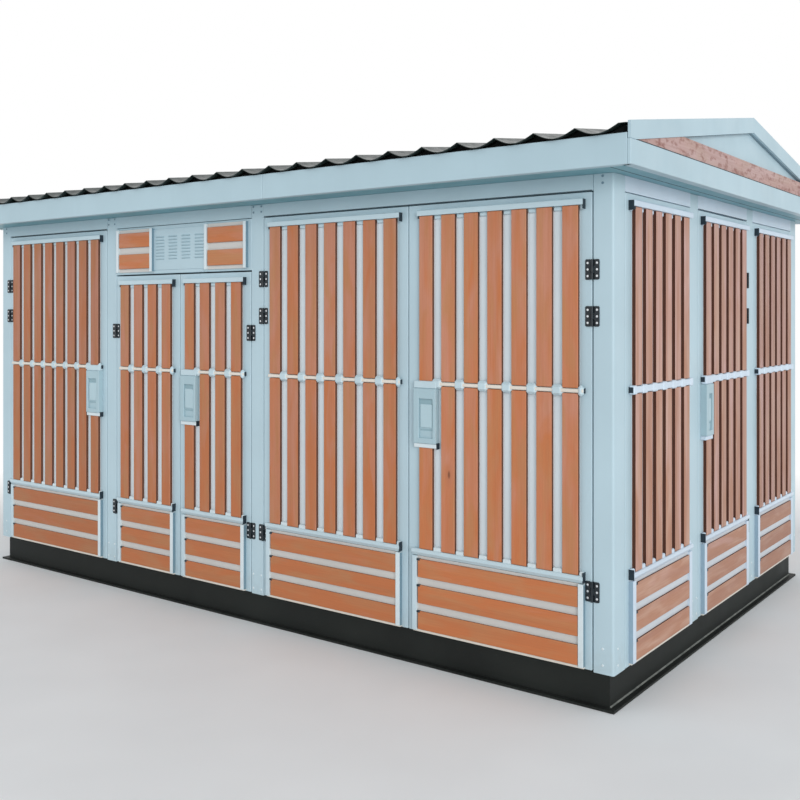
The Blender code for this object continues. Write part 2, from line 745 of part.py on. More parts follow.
def walls():
    """Headers, uprights and the panels that don't open. Returns the posts that carry hinges."""
    uprights = {}
    for wall in WALLS:
        base_beam(wall)
        header(wall)
        uprights[wall.name] = posts(wall)
    for wall in (BACK, LEFT):
        for index in range(len(wall.bays)):
            fixed_panel(wall, index)
    fixed_panel(RIGHT, 0)
    fixed_panel(RIGHT, 2)
    return uprights


def doors(uprights):
    """The six leaves, their lock plates and the frame's hinge halves."""
    corner_left = corner_post("corner_post_front_left", -1, -1)
    corner_right = corner_post("corner_post_front_right", 1, -1)
    corner_post("corner_post_back_left", -1, 1)
    corner_post("corner_post_back_right", 1, 1)
    tall = hinge_levels(OPENING_HEIGHT, TALL_HINGE_DROPS)
    short = hinge_levels(MIDDLE_DOOR_HEIGHT, MIDDLE_HINGE_DROPS)
    axis = single_door("single_door", FRONT, 0, -1, tall)
    add_frame_hinges(corner_left, FRONT, axis, -1, tall)
    left, right = double_door("middle_door", FRONT, 1, MIDDLE_DOOR_HEIGHT, short)
    add_frame_hinges(uprights["front"][0], FRONT, left, -1, short)
    add_frame_hinges(uprights["front"][1], FRONT, right, 1, short)
    left, right = double_door(
        "large_door", FRONT, 2, OPENING_HEIGHT, tall, LARGE_RIGHT_INSET, LARGE_RIGHT_REACH,
    )
    add_frame_hinges(uprights["front"][1], FRONT, left, -1, tall)
    add_frame_hinges(corner_right, FRONT, right, 1, tall)
    axis = single_door("end_door", RIGHT, 1, 1, tall)
    add_frame_hinges(uprights["right"][1], RIGHT, axis, 1, tall)
    vent_panel()


def roof():
    ceiling()
    for word, side in (("front", -1), ("back", 1)):
        long_fascia(word + "_fascia", side)
        roof_sheet("roof_sheet_" + word, side)
    for word, side in (("left", -1), ("right", 1)):
        end_fascia(word + "_fascia", side)
        gable_plank(word + "_gable_plank", side)
        gable_sheet(word + "_gable_sheet", side)
        for end, half in (("front", -1), ("back", 1)):
            bargeboard(f"{word}_bargeboard_{end}", side, half)
    ridge_cap()


def main():
    for old in list(bpy.data.objects):
        bpy.data.objects.remove(old, do_unlink=True)
    floor_plate()
    doors(walls())
    roof()


main()
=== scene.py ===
# Compact substation, dressed: folded steel leaves clad in timber, hinges, locks, louvres,
# a tile-profile roof and a black base. Metres, +Z up, the front faces -Y, the door end +X.

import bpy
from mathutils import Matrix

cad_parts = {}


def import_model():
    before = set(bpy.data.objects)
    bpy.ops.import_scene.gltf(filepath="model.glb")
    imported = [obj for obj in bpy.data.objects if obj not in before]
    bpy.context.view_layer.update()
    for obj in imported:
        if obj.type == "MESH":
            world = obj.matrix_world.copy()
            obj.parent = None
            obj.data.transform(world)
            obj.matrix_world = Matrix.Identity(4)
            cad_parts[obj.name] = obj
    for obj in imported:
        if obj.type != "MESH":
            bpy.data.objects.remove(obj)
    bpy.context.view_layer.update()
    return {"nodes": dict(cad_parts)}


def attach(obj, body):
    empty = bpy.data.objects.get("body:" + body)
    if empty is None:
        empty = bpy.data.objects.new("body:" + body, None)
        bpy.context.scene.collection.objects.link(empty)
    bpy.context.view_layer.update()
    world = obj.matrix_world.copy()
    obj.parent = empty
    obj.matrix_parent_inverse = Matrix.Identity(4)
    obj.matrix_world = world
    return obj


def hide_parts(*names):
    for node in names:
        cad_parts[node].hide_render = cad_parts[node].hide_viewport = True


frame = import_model()

import math
import random
from collections import namedtuple

import bpy
from mathutils import Matrix, Vector

# Seat gap between pieces that touch, how far a detail runs into its neighbour, and the
# running gaps round the leaves
SEAT = 0.0003
LAP = 0.001
DOOR_GAP = 0.005
PANEL_GAP = 0.003

# Long side, left to right seen from the front, and the end wall's three equal bays
FRONT_CORNER_LEG = 0.090
SINGLE_BAY = 1.000
MIDDLE_BAY = 1.106
DOUBLE_BAY = 1.846
FRONT_POST = 0.084
END_CORNER_LEG = 0.110
END_BAY = 0.740
END_POST = 0.100

# Heights
BASE_HEIGHT = 0.150
OPENING_HEIGHT = 1.950
HEADER_HEIGHT = 0.065
VENT_HEIGHT = 0.275

# Frame and sheets
POST_DEPTH = 0.060
HEADER_BACK = 0.028
LEAF_THICKNESS = 0.040
CORNER_RADIUS = 0.010
FOLD_RADIUS = 0.002
POST_EDGE = 0.003
BOLT_RADIUS = 0.0055
BOLT_PROUD = 0.003
POST_BOLT_LEVELS = (0.030, 0.103)
POST_BOLT_DROPS = (0.010, 0.038)
POST_BOLT_SPREAD = 0.028
CORNER_BOLT_FRONT = 0.042
CORNER_BOLT_END = 0.037
CORNER_BOLT_LEVELS = (0.036, 0.103)
# A black strip over the doors under the header: painted shadow in the gap above the leaves
SHADOW_LINE_HEIGHT = 0.0025
SHADOW_LINE_PROUD = 0.0015
ARC_STEPS = 8
PLATE_ARC_STEPS = 4
STUD_SIDES = 12
STUD_DOME = ((1.0, 0.0), (1.0, 0.5), (0.82, 0.85), (0.45, 1.0))
SOFT_SEGMENTS = 2
SOFT_ANGLE = 40.0
SHARP_ANGLE = 32.0

# Cut edges, by what they are on
SEAM_EDGE = 0.0001
TAB_EDGE = 0.0003
MARK_EDGE = 0.0004
PLATE_EDGE = 0.0005
BED_EDGE = 0.0006
FINE_EDGE = 0.0008
CAP_EDGE = 0.001
STRIP_EDGE = 0.0015
CASE_EDGE = 0.002
BAR_EDGE = 0.003
STIFFENER_EDGE = 0.006

# Base beam
BASE_FLANGE = 0.010
BASE_INSET = 0.032
CORNER_STRIP_WIDTH = 0.006
CORNER_STRIP_HEIGHT = 0.004

# Timber: how far apart the boards' grain lies in the pattern, and where a tone lies between
# the two colours of its timber
GRAIN_SPREAD = 9
MIDDLE_TONE = 0.5
GABLE_GRAIN_SHIFT = 3.0
GABLE_TONE = 0.6

# Leaf: a pan folded from thin sheet, with two stiffeners inside
FOLD_SHORT = 0.002
PAN_SHEET = 0.002
PAN_FLANGE = 0.025
STIFFENER_WIDTH = 0.060
STIFFENER_DEPTH = 0.026
STIFFENER_END_GAP = 0.004
STIFFENER_PARTS = (0.3, 0.7)

# Cladding of the long walls and of the end walls: its margin on the leaf, the strips beside
# the planks, the slats, and how far a lock plate runs past its slat
Cladding = namedtuple("Cladding", "margin strip slat lock_reach")
LONG_CLADDING = Cladding(margin=0.033, strip=0.024, slat=0.072, lock_reach=0.026)
END_CLADDING = Cladding(margin=0.030, strip=0.030, slat=0.066, lock_reach=0.0)

# The large right leaf's rails and slats start further in, and its cladding ends further out
LARGE_RIGHT_INSET = 0.014
LARGE_RIGHT_REACH = 0.004

# Cladding heights, and depths outwards from the leaf's sheet
STRIP_PROUD = 0.022
SLAT_PITCH = 0.115
SLAT_PROUD = 0.020
SLAT_EDGE = 0.002
SLAT_SEAT = 0.002
TOP_RAIL_HEIGHT = 0.026
LOWER_RAIL_HEIGHT = 0.031
RAIL_PROUD = 0.027
RAIL_ROUND = 0.004
RAIL_CHEEK = 0.012
RAIL_SLOT = 0.003
TOP_RAIL_DROP = 0.030
TOP_TOOTH_HEIGHT = 0.019
TOP_TOOTH_PROUD = 0.010
LOWER_TOOTH_HEIGHT = 0.015
LOWER_TOOTH_PROUD = 0.018
TOOTH_ROOT = 0.006
TOOTH_EDGE = 0.004
TOOTH_GAP = 0.003
MID_RAIL_LEVEL = 1.137
MID_BLOCK_HEIGHT = 0.045
MID_BLOCK_PROUD = 0.027
MID_BLOCK_LAP = 0.002
MID_BAR_PROUD = 0.0235
MID_BAR_SLOT = 0.003
PLUG_ROOT = 0.002
PLUG_LAP = 0.001
PLUG_INSET = 0.002
# Black marks at the planks' left ends and corners and beside the first slat's top, as painted shadow
SHADOW_MARK_WIDTH = 0.012
SHADOW_MARK_HEIGHT = 0.008
SHADOW_MARK_PROUD = 0.002
PLANK_HEIGHT = 0.083
PLANK_PITCH = 0.118
PLANK_LEVEL = 0.020
PLANK_COUNT = 3
PLANK_RAIL_GAP = 0.016
PLANK_BED_PROUD = 0.010
PLANK_END_GAP = 0.0025
PLANK_LEFT_GAP = 0.006
PLANK_TONES = (0.00, 0.25)
BACKING = 0.001
BACKING_INSET = 0.0005
FOOT_FOLD_HEIGHT = 0.006
FOOT_FOLD_PROUD = 0.014

# Vent panel over the middle doors
VENT_MARGIN = 0.023
VENT_PLANK_LENGTH = 0.276
VENT_PLANK_COUNT = 2
VENT_PLANK_GAP = 0.039
VENT_EDGE = 0.032
VENT_STRIP = 0.020
VENT_PLATE_PROUD = 0.004
VENT_PLATE_WIDTH = 0.440
LOUVRE_COLUMNS = 4
LOUVRE_ROWS = 8
LOUVRE_PITCH = (0.107, 0.0176)
LOUVRE_RAISE = 0.010
LOUVRE_WIDTH = 0.070
LOUVRE_HEIGHT = 0.009
LOUVRE_LIP = 0.002
SLOT_PROUD = 0.0006
LOUVRE_PROUD = 0.0045

# Hinges
HINGE_HEIGHT = 0.083
HINGE_WIDTH = 0.062
HINGE_PLATE = 0.003
HINGE_CORNER = 0.006
KNUCKLE_RADIUS = 0.006
KNUCKLE_SIDES = 16
KNUCKLE_CLEARANCE = 0.0005
PLATE_CLEARANCE = 0.0012
LOWER_HINGE_LEVEL = 0.325
TALL_HINGE_DROPS = (0.510, 0.320)
MIDDLE_HINGE_DROPS = (0.323,)
SCREW_RADIUS = 0.0048
SCREW_PROUD = 0.0012
SCREW_REACH = 0.0205
SCREW_PITCH = 0.0265

# Lock plates
LOCK_HEIGHT = 0.248
LOCK_PROUD = 0.032
PADDLE_OUTER_MARGIN = 0.029
PADDLE_INNER_MARGIN = 0.017
PADDLE_HEIGHT = 0.176
PADDLE_DROP = 0.047
PADDLE_RECESS = 0.010
PADDLE_RIM = 0.006
PADDLE_PROUD = 0.005
PADDLE_BAND = 0.023
PADDLE_LENGTH = 0.107
PADDLE_SHADOW = 0.003
KEY_MARK_HEIGHT = 0.008
LOCK_BAR_HEIGHT = 0.020
LOCK_CAP_LAP = 0.004
LOCK_CAP_THICKNESS = 0.003

# Roof
EAVE_FRONT = 0.180
EAVE_END = 0.150
FASCIA_THICKNESS = 0.040
FRONT_FASCIA_HEIGHT = 0.121
END_FASCIA_HEIGHT = 0.098
END_FASCIA_FOLD = 0.015
FASCIA_SEAM = 0.381
FASCIA_JOINT = 0.0015
FASCIA_LIP_GAP = 0.030
RIDGE_RISE = 0.245
BARGE_HEIGHT = 0.075
BARGE_THICKNESS = 0.012
BARGE_CUT = 0.008
GABLE_PLANK_HEIGHT = 0.082
GABLE_PLANK_THICKNESS = 0.026
GABLE_PLANK_SET_BACK = 0.004
GABLE_LINE = 0.003
GABLE_LINE_DEPTH = 0.006
RAKE_LINING = 0.010
WAVE_PITCH = 0.1815
WAVE_HEIGHT = 0.031
WAVE_SEGMENTS = 16
FIRST_CREST = 0.030
ROOF_SHEET = 0.006
ROOF_SKIN = 0.0025
SHEET_LIP = 0.020
RIDGE_SPLIT = 0.012
TILE_COURSE = 0.350
TILE_STEP = 0.011
CLOSURE_SET_BACK = 0.030
CLOSURE_THICKNESS = 0.008
SOFFIT_SEAM = 0.004
SOFFIT_SEAM_PROUD = 0.0005
SOFFIT_SEAM_REACH = 0.048

# Stage
CAMERA_PLACE = (3.827, -5.028, 1.597)
CAMERA_AZIMUTH = 36.446
CAMERA_LENS = 44.85
CAMERA_SENSOR = 36.0
CAMERA_SHIFT = -0.1067
CAMERA_REACH = 100.0
SUN_STRENGTH = 1.35
SUN_WIDTH = 25.0
SUN_ELEVATION = 11.0
SUN_AZIMUTH = 52.0
SKY_COLOUR = (0.93, 0.97, 1.0, 1.0)
WHITE = (1.0, 1.0, 1.0, 1.0)
WORLD_LIGHT = 0.72
FLOOR_REACH = 30.0
FLOOR_SIDES = 96
FLOOR_DROP = 0.0005
FLOOR_FADE = (3.2, 5.5)

LENGTH = 2 * FRONT_CORNER_LEG + 2 * FRONT_POST + SINGLE_BAY + MIDDLE_BAY + DOUBLE_BAY
WIDTH = 2 * END_CORNER_LEG + 2 * END_POST + 3 * END_BAY
HALF_LENGTH = LENGTH / 2
HALF_WIDTH = WIDTH / 2
OPENING_TOP = BASE_HEIGHT + OPENING_HEIGHT
MIDDLE_DOOR_HEIGHT = OPENING_HEIGHT - VENT_HEIGHT
SOFFIT = OPENING_TOP + HEADER_HEIGHT
ROOF_HALF_LENGTH = HALF_LENGTH + EAVE_END
ROOF_HALF_WIDTH = HALF_WIDTH + EAVE_FRONT
ROOF_SLOPE = RIDGE_RISE / ROOF_HALF_WIDTH
END_FASCIA_TOP = SOFFIT + END_FASCIA_HEIGHT
GABLE_LOW = END_FASCIA_TOP + SEAT
RIDGE_TOP = END_FASCIA_TOP + BARGE_HEIGHT - BARGE_CUT + RIDGE_RISE
LOWER_RAIL_LEVEL = PLANK_LEVEL + (PLANK_COUNT - 1) * PLANK_PITCH + PLANK_HEIGHT + PLANK_RAIL_GAP
MID_BLOCK_LOW = MID_RAIL_LEVEL - MID_BLOCK_HEIGHT / 2
LOCK_LOW = MID_BLOCK_LOW - LOCK_HEIGHT
AXIS_PROUD = KNUCKLE_RADIUS + KNUCKLE_CLEARANCE
LONG_SIDES = (("front", -1), ("back", 1))
END_SIDES = (("left", -1), ("right", 1))

scene = bpy.context.scene
scene.view_settings.view_transform = "Standard"
chance = random.Random(7)


def on_side(side, first, second):
    """Two places on one side of the middle, the lower one first."""
    return sorted((side * first, side * second))


def put(name, data):
    """A new object in the scene."""
    made = bpy.data.objects.new(name, data)
    scene.collection.objects.link(made)
    return made


# Shader building

def with_alpha(colour):
    """A colour with its fourth channel. A linked output stays as it is."""
    return colour if isinstance(colour, bpy.types.NodeSocket) else (*colour, 1.0)


class Nodes:
    """A node tree, and short ways to add to it."""

    def __init__(self, tree):
        self.tree = tree

    def link(self, source, target):
        self.tree.links.new(source, target)

    def node(self, kind, inputs=None, **settings):
        """The outputs of a new node whose inputs, by name or number, are linked or set."""
        made = self.tree.nodes.new("ShaderNode" + kind)
        for key, value in settings.items():
            setattr(made, key, value)
        for socket, value in (inputs or {}).items():
            if isinstance(value, bpy.types.NodeSocket):
                self.link(value, made.inputs[socket])
            else:
                made.inputs[socket].default_value = value
        return made.outputs

    def maths(self, operation, first, second):
        return self.node("Math", {0: first, 1: second}, operation=operation)["Value"]

    def backdrop_rays(self):
        """1 for rays that should meet plain white: from the camera, or by gloss or glass."""
        rays = self.node("LightPath")
        total = rays["Is Camera Ray"]
        for name in ("Is Glossy Ray", "Is Transmission Ray"):
            total = self.maths("MAXIMUM", total, rays[name])
        return total


class Shader(Nodes):
    """A material's nodes: its Principled shader and the patterns that feed it."""

    def __init__(self, name, colour, roughness, specular=0.5, metallic=0.0):
        self.material = bpy.data.materials.new(name)
        self.material.use_nodes = True
        super().__init__(self.material.node_tree)
        self.principled = self.tree.nodes["Principled BSDF"]
        self.set("Base Color", with_alpha(colour))
        self.set("Roughness", roughness)
        self.set("Specular IOR Level", specular)
        self.set("Metallic", metallic)

    def set(self, socket, value):
        self.principled.inputs[socket].default_value = value

    def place(self):
        """Object coordinates."""
        return self.node("TexCoord")["Object"]

    def stored(self, name, output):
        return self.node("Attribute", attribute_name=name)[output]

    def stretch(self, vector, scale):
        return self.node("Mapping", {"Vector": vector, "Scale": scale}, vector_type="POINT")["Vector"]

    def noise(self, vector, scale, detail=3.0, roughness=0.5, distortion=0.0):
        inputs = {"Vector": vector, "Scale": scale, "Detail": detail, "Roughness": roughness}
        return self.node("TexNoise", {**inputs, "Distortion": distortion})["Fac"]

    def ranged(self, value, low, high, to_low=0.0, to_high=1.0):
        """Map a value's range onto another, held at the ends."""
        inputs = {"Value": value, "From Min": low, "From Max": high, "To Min": to_low, "To Max": to_high}
        return self.node("MapRange", inputs)["Result"]

    def part(self, vector, axis):
        return self.node("SeparateXYZ", {"Vector": vector})[axis]

    def mix(self, amount, first, second, blend="MIX"):
        """Mix two colours."""
        inputs = {0: amount, 6: with_alpha(first), 7: with_alpha(second)}
        return self.node("Mix", inputs, data_type="RGBA", blend_type=blend)[2]

    def veil(self, base, colour, pattern, low, high, most):
        """Lay a colour over another, from nothing to most as the pattern goes from low to high."""
        return self.mix(self.ranged(pattern, low, high, 0.0, most), base, colour)

    def colour(self, source):
        self.link(source, self.principled.inputs["Base Color"])

    def mottle(self, pattern, low, high, dark, light):
        """Colour the surface from dark to light as the pattern goes from low to high."""
        self.colour(self.mix(self.ranged(pattern, low, high), dark, light))

    def roughness(self, pattern, low, high, smooth, rough):
        """Make the surface rougher as the pattern goes from low to high."""
        self.link(self.ranged(pattern, low, high, smooth, rough), self.principled.inputs["Roughness"])

    def bump(self, height, depth):
        """Raise the surface by height times depth, in metres."""
        normal = self.node("Bump", {"Height": height, "Distance": depth})["Normal"]
        self.link(normal, self.principled.inputs["Normal"])


def shaded(colour, factor):
    """A darker or lighter form of a colour."""
    return tuple(channel * factor for channel in colour)


def painted(name, colour, roughness=0.42):
    """Powder-coated steel: faint cloudy tone, rain streaks, dust at the foot, orange-peel skin."""
    s = Shader(name, colour, roughness)
    place = s.place()
    clouds = s.noise(place, 2.3, 4.0)
    streaks = s.noise(s.stretch(place, (14.0, 14.0, 0.7)), 1.0, 3.0)
    tone = s.mix(s.ranged(clouds, 0.35, 0.65), shaded(colour, 0.965), shaded(colour, 1.03))
    tone = s.veil(tone, shaded(colour, 0.93), streaks, 0.50, 0.80, 0.35)
    low = s.ranged(s.part(place, "Z"), BASE_HEIGHT, BASE_HEIGHT + 0.14, 0.30, 0.0)
    grime = s.maths("MULTIPLY", low, s.ranged(s.noise(place, 30.0, 5.0), 0.35, 0.75))
    s.colour(s.mix(grime, tone, DUST))
    s.roughness(s.noise(place, 9.0, 4.0), 0.3, 0.7, roughness - 0.05, roughness + 0.10)
    s.bump(s.noise(place, 420.0, 2.0), 0.00006)
    return s.material


def timber(name, orange, pink, olive, brown, streak, knot, blotch=0.0):
    """Oiled softwood: each board its own tone, soft patches, rings, streaks, knots and fibres,
    and a warmer tone low down."""
    s = Shader(name, orange, 0.55)
    grain = s.stored("grain", "Vector")
    tone = s.stored("tone", "Fac")
    patches = s.noise(s.stretch(grain, (13.0, 13.0, 2.6)), 1.0, 2.0, 0.5, 0.8)
    lean = s.maths("ADD", tone, s.ranged(patches, 0.30, 0.70, -0.65, 0.65))
    lean = s.maths("ADD", lean, s.ranged(s.part(s.place(), "Z"), 0.2, 1.9, -0.50, 0.25))
    board = s.mix(s.ranged(lean, 0.0, 1.0), orange, pink)
    dull = s.noise(s.stretch(grain, (17.0, 17.0, 3.4)), 1.0, 2.0, 0.5, 0.5)
    board = s.veil(board, olive, dull, 0.45, 0.68, 0.85)
    long_streaks = s.noise(s.stretch(grain, (26.0, 26.0, 0.9)), 1.0, 3.0, 0.5, 0.6)
    board = s.veil(board, s.mix(0.45, brown, orange), long_streaks, 0.42, 0.70, streak)
    ring = s.node("TexWave", {
        "Vector": s.stretch(grain, (1.0, 1.0, 0.055)), "Scale": 24.0, "Distortion": 5.5,
        "Detail": 2.5, "Detail Scale": 3.0,
    }, wave_type="BANDS", bands_direction="X", wave_profile="SAW")["Fac"]
    board = s.veil(board, brown, ring, 0.45, 1.0, 0.15)
    fibres = s.noise(s.stretch(grain, (620.0, 620.0, 14.0)), 1.0, 3.0)
    board = s.veil(board, shaded(brown, 0.8), fibres, 0.35, 0.70, 0.12)
    cells = s.node("TexVoronoi", {"Vector": s.stretch(grain, (9.0, 0.0, 3.4)), "Scale": 1.0}, feature="F1")
    picked = s.ranged(s.part(cells["Color"], "X"), knot, knot + 0.02)
    core = s.maths("MULTIPLY", s.ranged(cells["Distance"], 0.035, 0.075, 1.0, 0.0), picked)
    halo = s.maths("MULTIPLY", s.ranged(cells["Distance"], 0.05, 0.22, 0.45, 0.0), picked)
    board = s.mix(halo, board, brown)
    blots = s.noise(s.stretch(grain, (34.0, 34.0, 16.0)), 1.0, 3.0, 0.6)
    board = s.veil(board, brown, blots, 0.50, 0.68, blotch)
    board = s.mix(core, board, shaded(brown, 0.55))
    s.colour(s.mix(s.stored("darkening", "Fac"), board, (0.780, 0.800, 0.840), "MULTIPLY"))
    s.roughness(fibres, 0.3, 0.7, 0.48, 0.62)
    height = s.maths("ADD", s.maths("MULTIPLY", ring, 0.4), fibres)
    s.bump(height, 0.00022)
    return s.material


def painted_shade_edge(name, colour):
    """The boards' sides and ends, darkened as painted shade."""
    s = Shader(name, colour, 0.75, 0.25)
    grain = s.stored("grain", "Vector")
    fibres = s.noise(s.stretch(grain, (500.0, 500.0, 22.0)), 1.0, 3.0)
    s.mottle(fibres, 0.3, 0.7, shaded(colour, 1.25), shaded(colour, 0.75))
    s.bump(fibres, 0.0003)
    return s.material


def black_paint():
    """Matt black paint on rolled steel, with dust that settled low down."""
    s = Shader("black_steel", (0.014, 0.016, 0.015), 0.6, 0.20)
    place = s.place()
    clouds = s.noise(place, 3.1, 5.0)
    tone = s.mix(s.ranged(clouds, 0.35, 0.70), (0.011, 0.013, 0.012), (0.019, 0.022, 0.020))
    specks = s.noise(place, 75.0, 6.0, 0.7)
    s.colour(s.veil(tone, (0.060, 0.064, 0.058), specks, 0.62, 0.80, 0.35))
    s.roughness(clouds, 0.3, 0.7, 0.5, 0.7)
    s.bump(s.noise(place, 130.0, 4.0), 0.00025)
    return s.material


def pale_corner_strip():
    """A pale strip in the corner of the base's foot, drawing a lighter line there."""
    s = Shader("dust", (0.11, 0.12, 0.11), 0.9, 0.1)
    patches = s.noise(s.place(), 20.0, 5.0)
    s.mottle(patches, 0.35, 0.65, (0.13, 0.14, 0.13), (0.24, 0.25, 0.23))
    s.bump(patches, 0.0004)
    return s.material


def black_plastic_and_shadow():
    """Moulded plastic of the plugs, with a fine grain, also used for the black marks and lines of painted
    shadow.
    """
    s = Shader("black_plastic_and_shadow", (0.014, 0.026, 0.038), 0.5, 0.35)
    grain = s.noise(s.place(), 900.0, 2.0)
    s.mottle(grain, 0.4, 0.6, (0.012, 0.023, 0.034), (0.017, 0.030, 0.043))
    s.bump(grain, 0.00005)
    return s.material


def hinge_black():
    """Cast hinge, black powder coat, rubbed brighter in patches."""
    s = Shader("hinge_black", (0.013, 0.019, 0.025), 0.42, 0.4)
    rubbed = s.noise(s.place(), 160.0, 4.0)
    s.mottle(rubbed, 0.55, 0.75, (0.010, 0.016, 0.021), (0.030, 0.040, 0.048))
    s.bump(s.noise(s.place(), 700.0, 2.0), 0.00006)
    return s.material


def zinc():
    """Zinc-plated screws and bolts."""
    s = Shader("zinc", (0.72, 0.75, 0.77), 0.35, 0.5, 0.6)
    spangle = s.noise(s.place(), 300.0, 3.0)
    s.mottle(spangle, 0.35, 0.65, (0.66, 0.69, 0.71), (0.80, 0.82, 0.84))
    s.roughness(spangle, 0.3, 0.7, 0.28, 0.45)
    return s.material


def glazed_roof():
    """Dark green-black coated tile sheet with a faint gloss and some dulled patches."""
    s = Shader("roof_sheet", (0.022, 0.034, 0.031), 0.30, 0.25)
    place = s.place()
    clouds = s.noise(place, 5.0, 5.0)
    s.mottle(clouds, 0.35, 0.70, (0.016, 0.026, 0.024), (0.034, 0.050, 0.045))
    s.roughness(s.noise(place, 22.0, 4.0), 0.35, 0.70, 0.25, 0.45)
    s.set("Coat Weight", 0.12)
    s.set("Coat Roughness", 0.15)
    s.bump(s.noise(place, 60.0, 2.0), 0.0003)
    return s.material


def closure_foam():
    """Dark foam under the crests at the eave."""
    s = Shader("closure_foam", (0.012, 0.013, 0.013), 0.95, 0.1)
    cells = s.noise(s.place(), 500.0, 3.0)
    s.mottle(cells, 0.4, 0.6, (0.008, 0.009, 0.009), (0.018, 0.019, 0.019))
    s.bump(cells, 0.0006)
    return s.material


DUST = (0.34, 0.38, 0.37)
PAINT = painted("paint", (0.472, 0.615, 0.680))
EAVE_PAINT = painted("eave_paint", (0.440, 0.585, 0.650))
RAIL_PAINT = painted("rail_paint", (0.530, 0.660, 0.715))
# A lighter copy of the wall paint: painted light on the proud strips, teeth, lock bars and foot bolts
PALE = painted("pale_paint", (0.665, 0.750, 0.780))
# The thin bars and foot folds: cream as a painted highlight, warmed by a painted reflection of the orange
# boards
HIGHLIGHT_CREAM = painted("highlight_cream_paint", (0.760, 0.700, 0.620))
# The sheet between the slats: a lighter copy of the wall paint, painted light against the slats' shade
LIT_BACKING_PAINT = painted("lit_backing_paint", (0.720, 0.795, 0.835))
BED_PAINT = painted("bed_paint", (0.600, 0.585, 0.560))
SHADE = painted("shade_paint", (0.180, 0.285, 0.350))
# Dark blue-grey: painted shade in the louvres' slots and the lock's recess
SLOT_SHADE_PAINT = painted("slot_shade_paint", (0.270, 0.410, 0.460))
# The proud lock plate: darker than the wall paint, as painted shade
SHADED_LOCK_PAINT = painted("shaded_lock_paint", (0.390, 0.535, 0.590))
PADDLE_PAINT = painted("paddle_paint", (0.440, 0.590, 0.645))
# The end walls' header and cladding metal: paler and bluer than the wall paint, as painted light under the
# end eave
LIT_END_PAINT = painted("lit_end_paint", (0.610, 0.710, 0.810))
END_SHADE = painted("end_shade_paint", (0.300, 0.410, 0.500))
END_BED = painted("end_bed_paint", (0.620, 0.660, 0.700))
# The soffit: dark teal as painted shade under the eaves
SHADED_SOFFIT_PAINT = painted("shaded_soffit_paint", (0.150, 0.350, 0.410))
TIMBER = timber(
    "timber", (0.560, 0.174, 0.056), (0.572, 0.240, 0.148), (0.505, 0.220, 0.090),
    (0.390, 0.130, 0.052), 0.42, 0.965,
)
# The end walls' timber: paler and pinker than the front's, a painted reflection of the bright sky seen at
# a glancing angle
END_TIMBER = timber(
    "end_timber", (0.490, 0.238, 0.145), (0.620, 0.375, 0.325), (0.600, 0.370, 0.270),
    (0.360, 0.160, 0.110), 0.80, 0.965,
)
GABLE_TIMBER = timber(
    "gable_timber", (0.520, 0.330, 0.290), (0.530, 0.365, 0.345), (0.480, 0.330, 0.280),
    (0.230, 0.080, 0.060), 0.50, 0.25, 0.95,
)
# The boards' sides and ends: dark brown as painted shade between and under the boards
TIMBER_SIDE = painted_shade_edge("timber_side", (0.130, 0.055, 0.034))
END_TIMBER_SIDE = painted_shade_edge("end_timber_side", (0.082, 0.029, 0.017))
BLACK = black_paint()
PALE_CORNER = pale_corner_strip()
BLACK_PLASTIC_AND_SHADOW = black_plastic_and_shadow()
HINGE = hinge_black()
ZINC = zinc()
ROOF = glazed_roof()
FOAM = closure_foam()


# Solids. FACE is any piece's own finish; timber's second finish is for its sides and ends, darkened as
# painted shade.

FACE, SHADED_EDGE = range(2)
SQUARE = ((0, 0), (1, 0), (1, 1), (0, 1))


def normal_of(points):
    """The normal of a flat outline, by Newell's sum."""
    total = Vector((0.0, 0.0, 0.0))
    for a, b in zip(points, points[1:] + points[:1]):
        total += Vector(a).cross(Vector(b))
    return total


def chamfered_box(low, high, edge):
    """Points and faces of a box whose edges are cut at 45 degrees. Each face comes with the
    axis that it looks along, or None on the cuts."""
    ends = (low, high)
    points = []
    number = {}
    corners = [(x, y, z) for x in (0, 1) for y in (0, 1) for z in (0, 1)]
    for corner in corners:
        for axis in range(3):
            number[corner, axis] = len(points)
            points.append(tuple(
                ends[corner[k]][k] + (0.0 if k == axis else (edge, -edge)[corner[k]]) for k in range(3)
            ))
    faces = []
    for axis in range(3):
        first, second = [k for k in range(3) if k != axis]

        def corner_at(level, pair):
            found = [level] * 3
            found[first], found[second] = pair
            return tuple(found)

        for side in (0, 1):
            faces.append(([number[corner_at(side, pair), axis] for pair in SQUARE], axis))
        for pair in SQUARE:
            near, far = corner_at(0, pair), corner_at(1, pair)
            cut = [number[near, first], number[near, second], number[far, second], number[far, first]]
            faces.append((cut, None))
    for corner in corners:
        faces.append(([number[corner, axis] for axis in range(3)], None))
    middle = (Vector(low) + Vector(high)) / 2
    turned = []
    for ring, axis in faces:
        outline = [points[i] for i in ring]
        outward = sum((Vector(p) for p in outline), Vector()) / len(outline) - middle
        turned.append((ring if normal_of(outline).dot(outward) > 0 else ring[::-1], axis))
    return points, turned


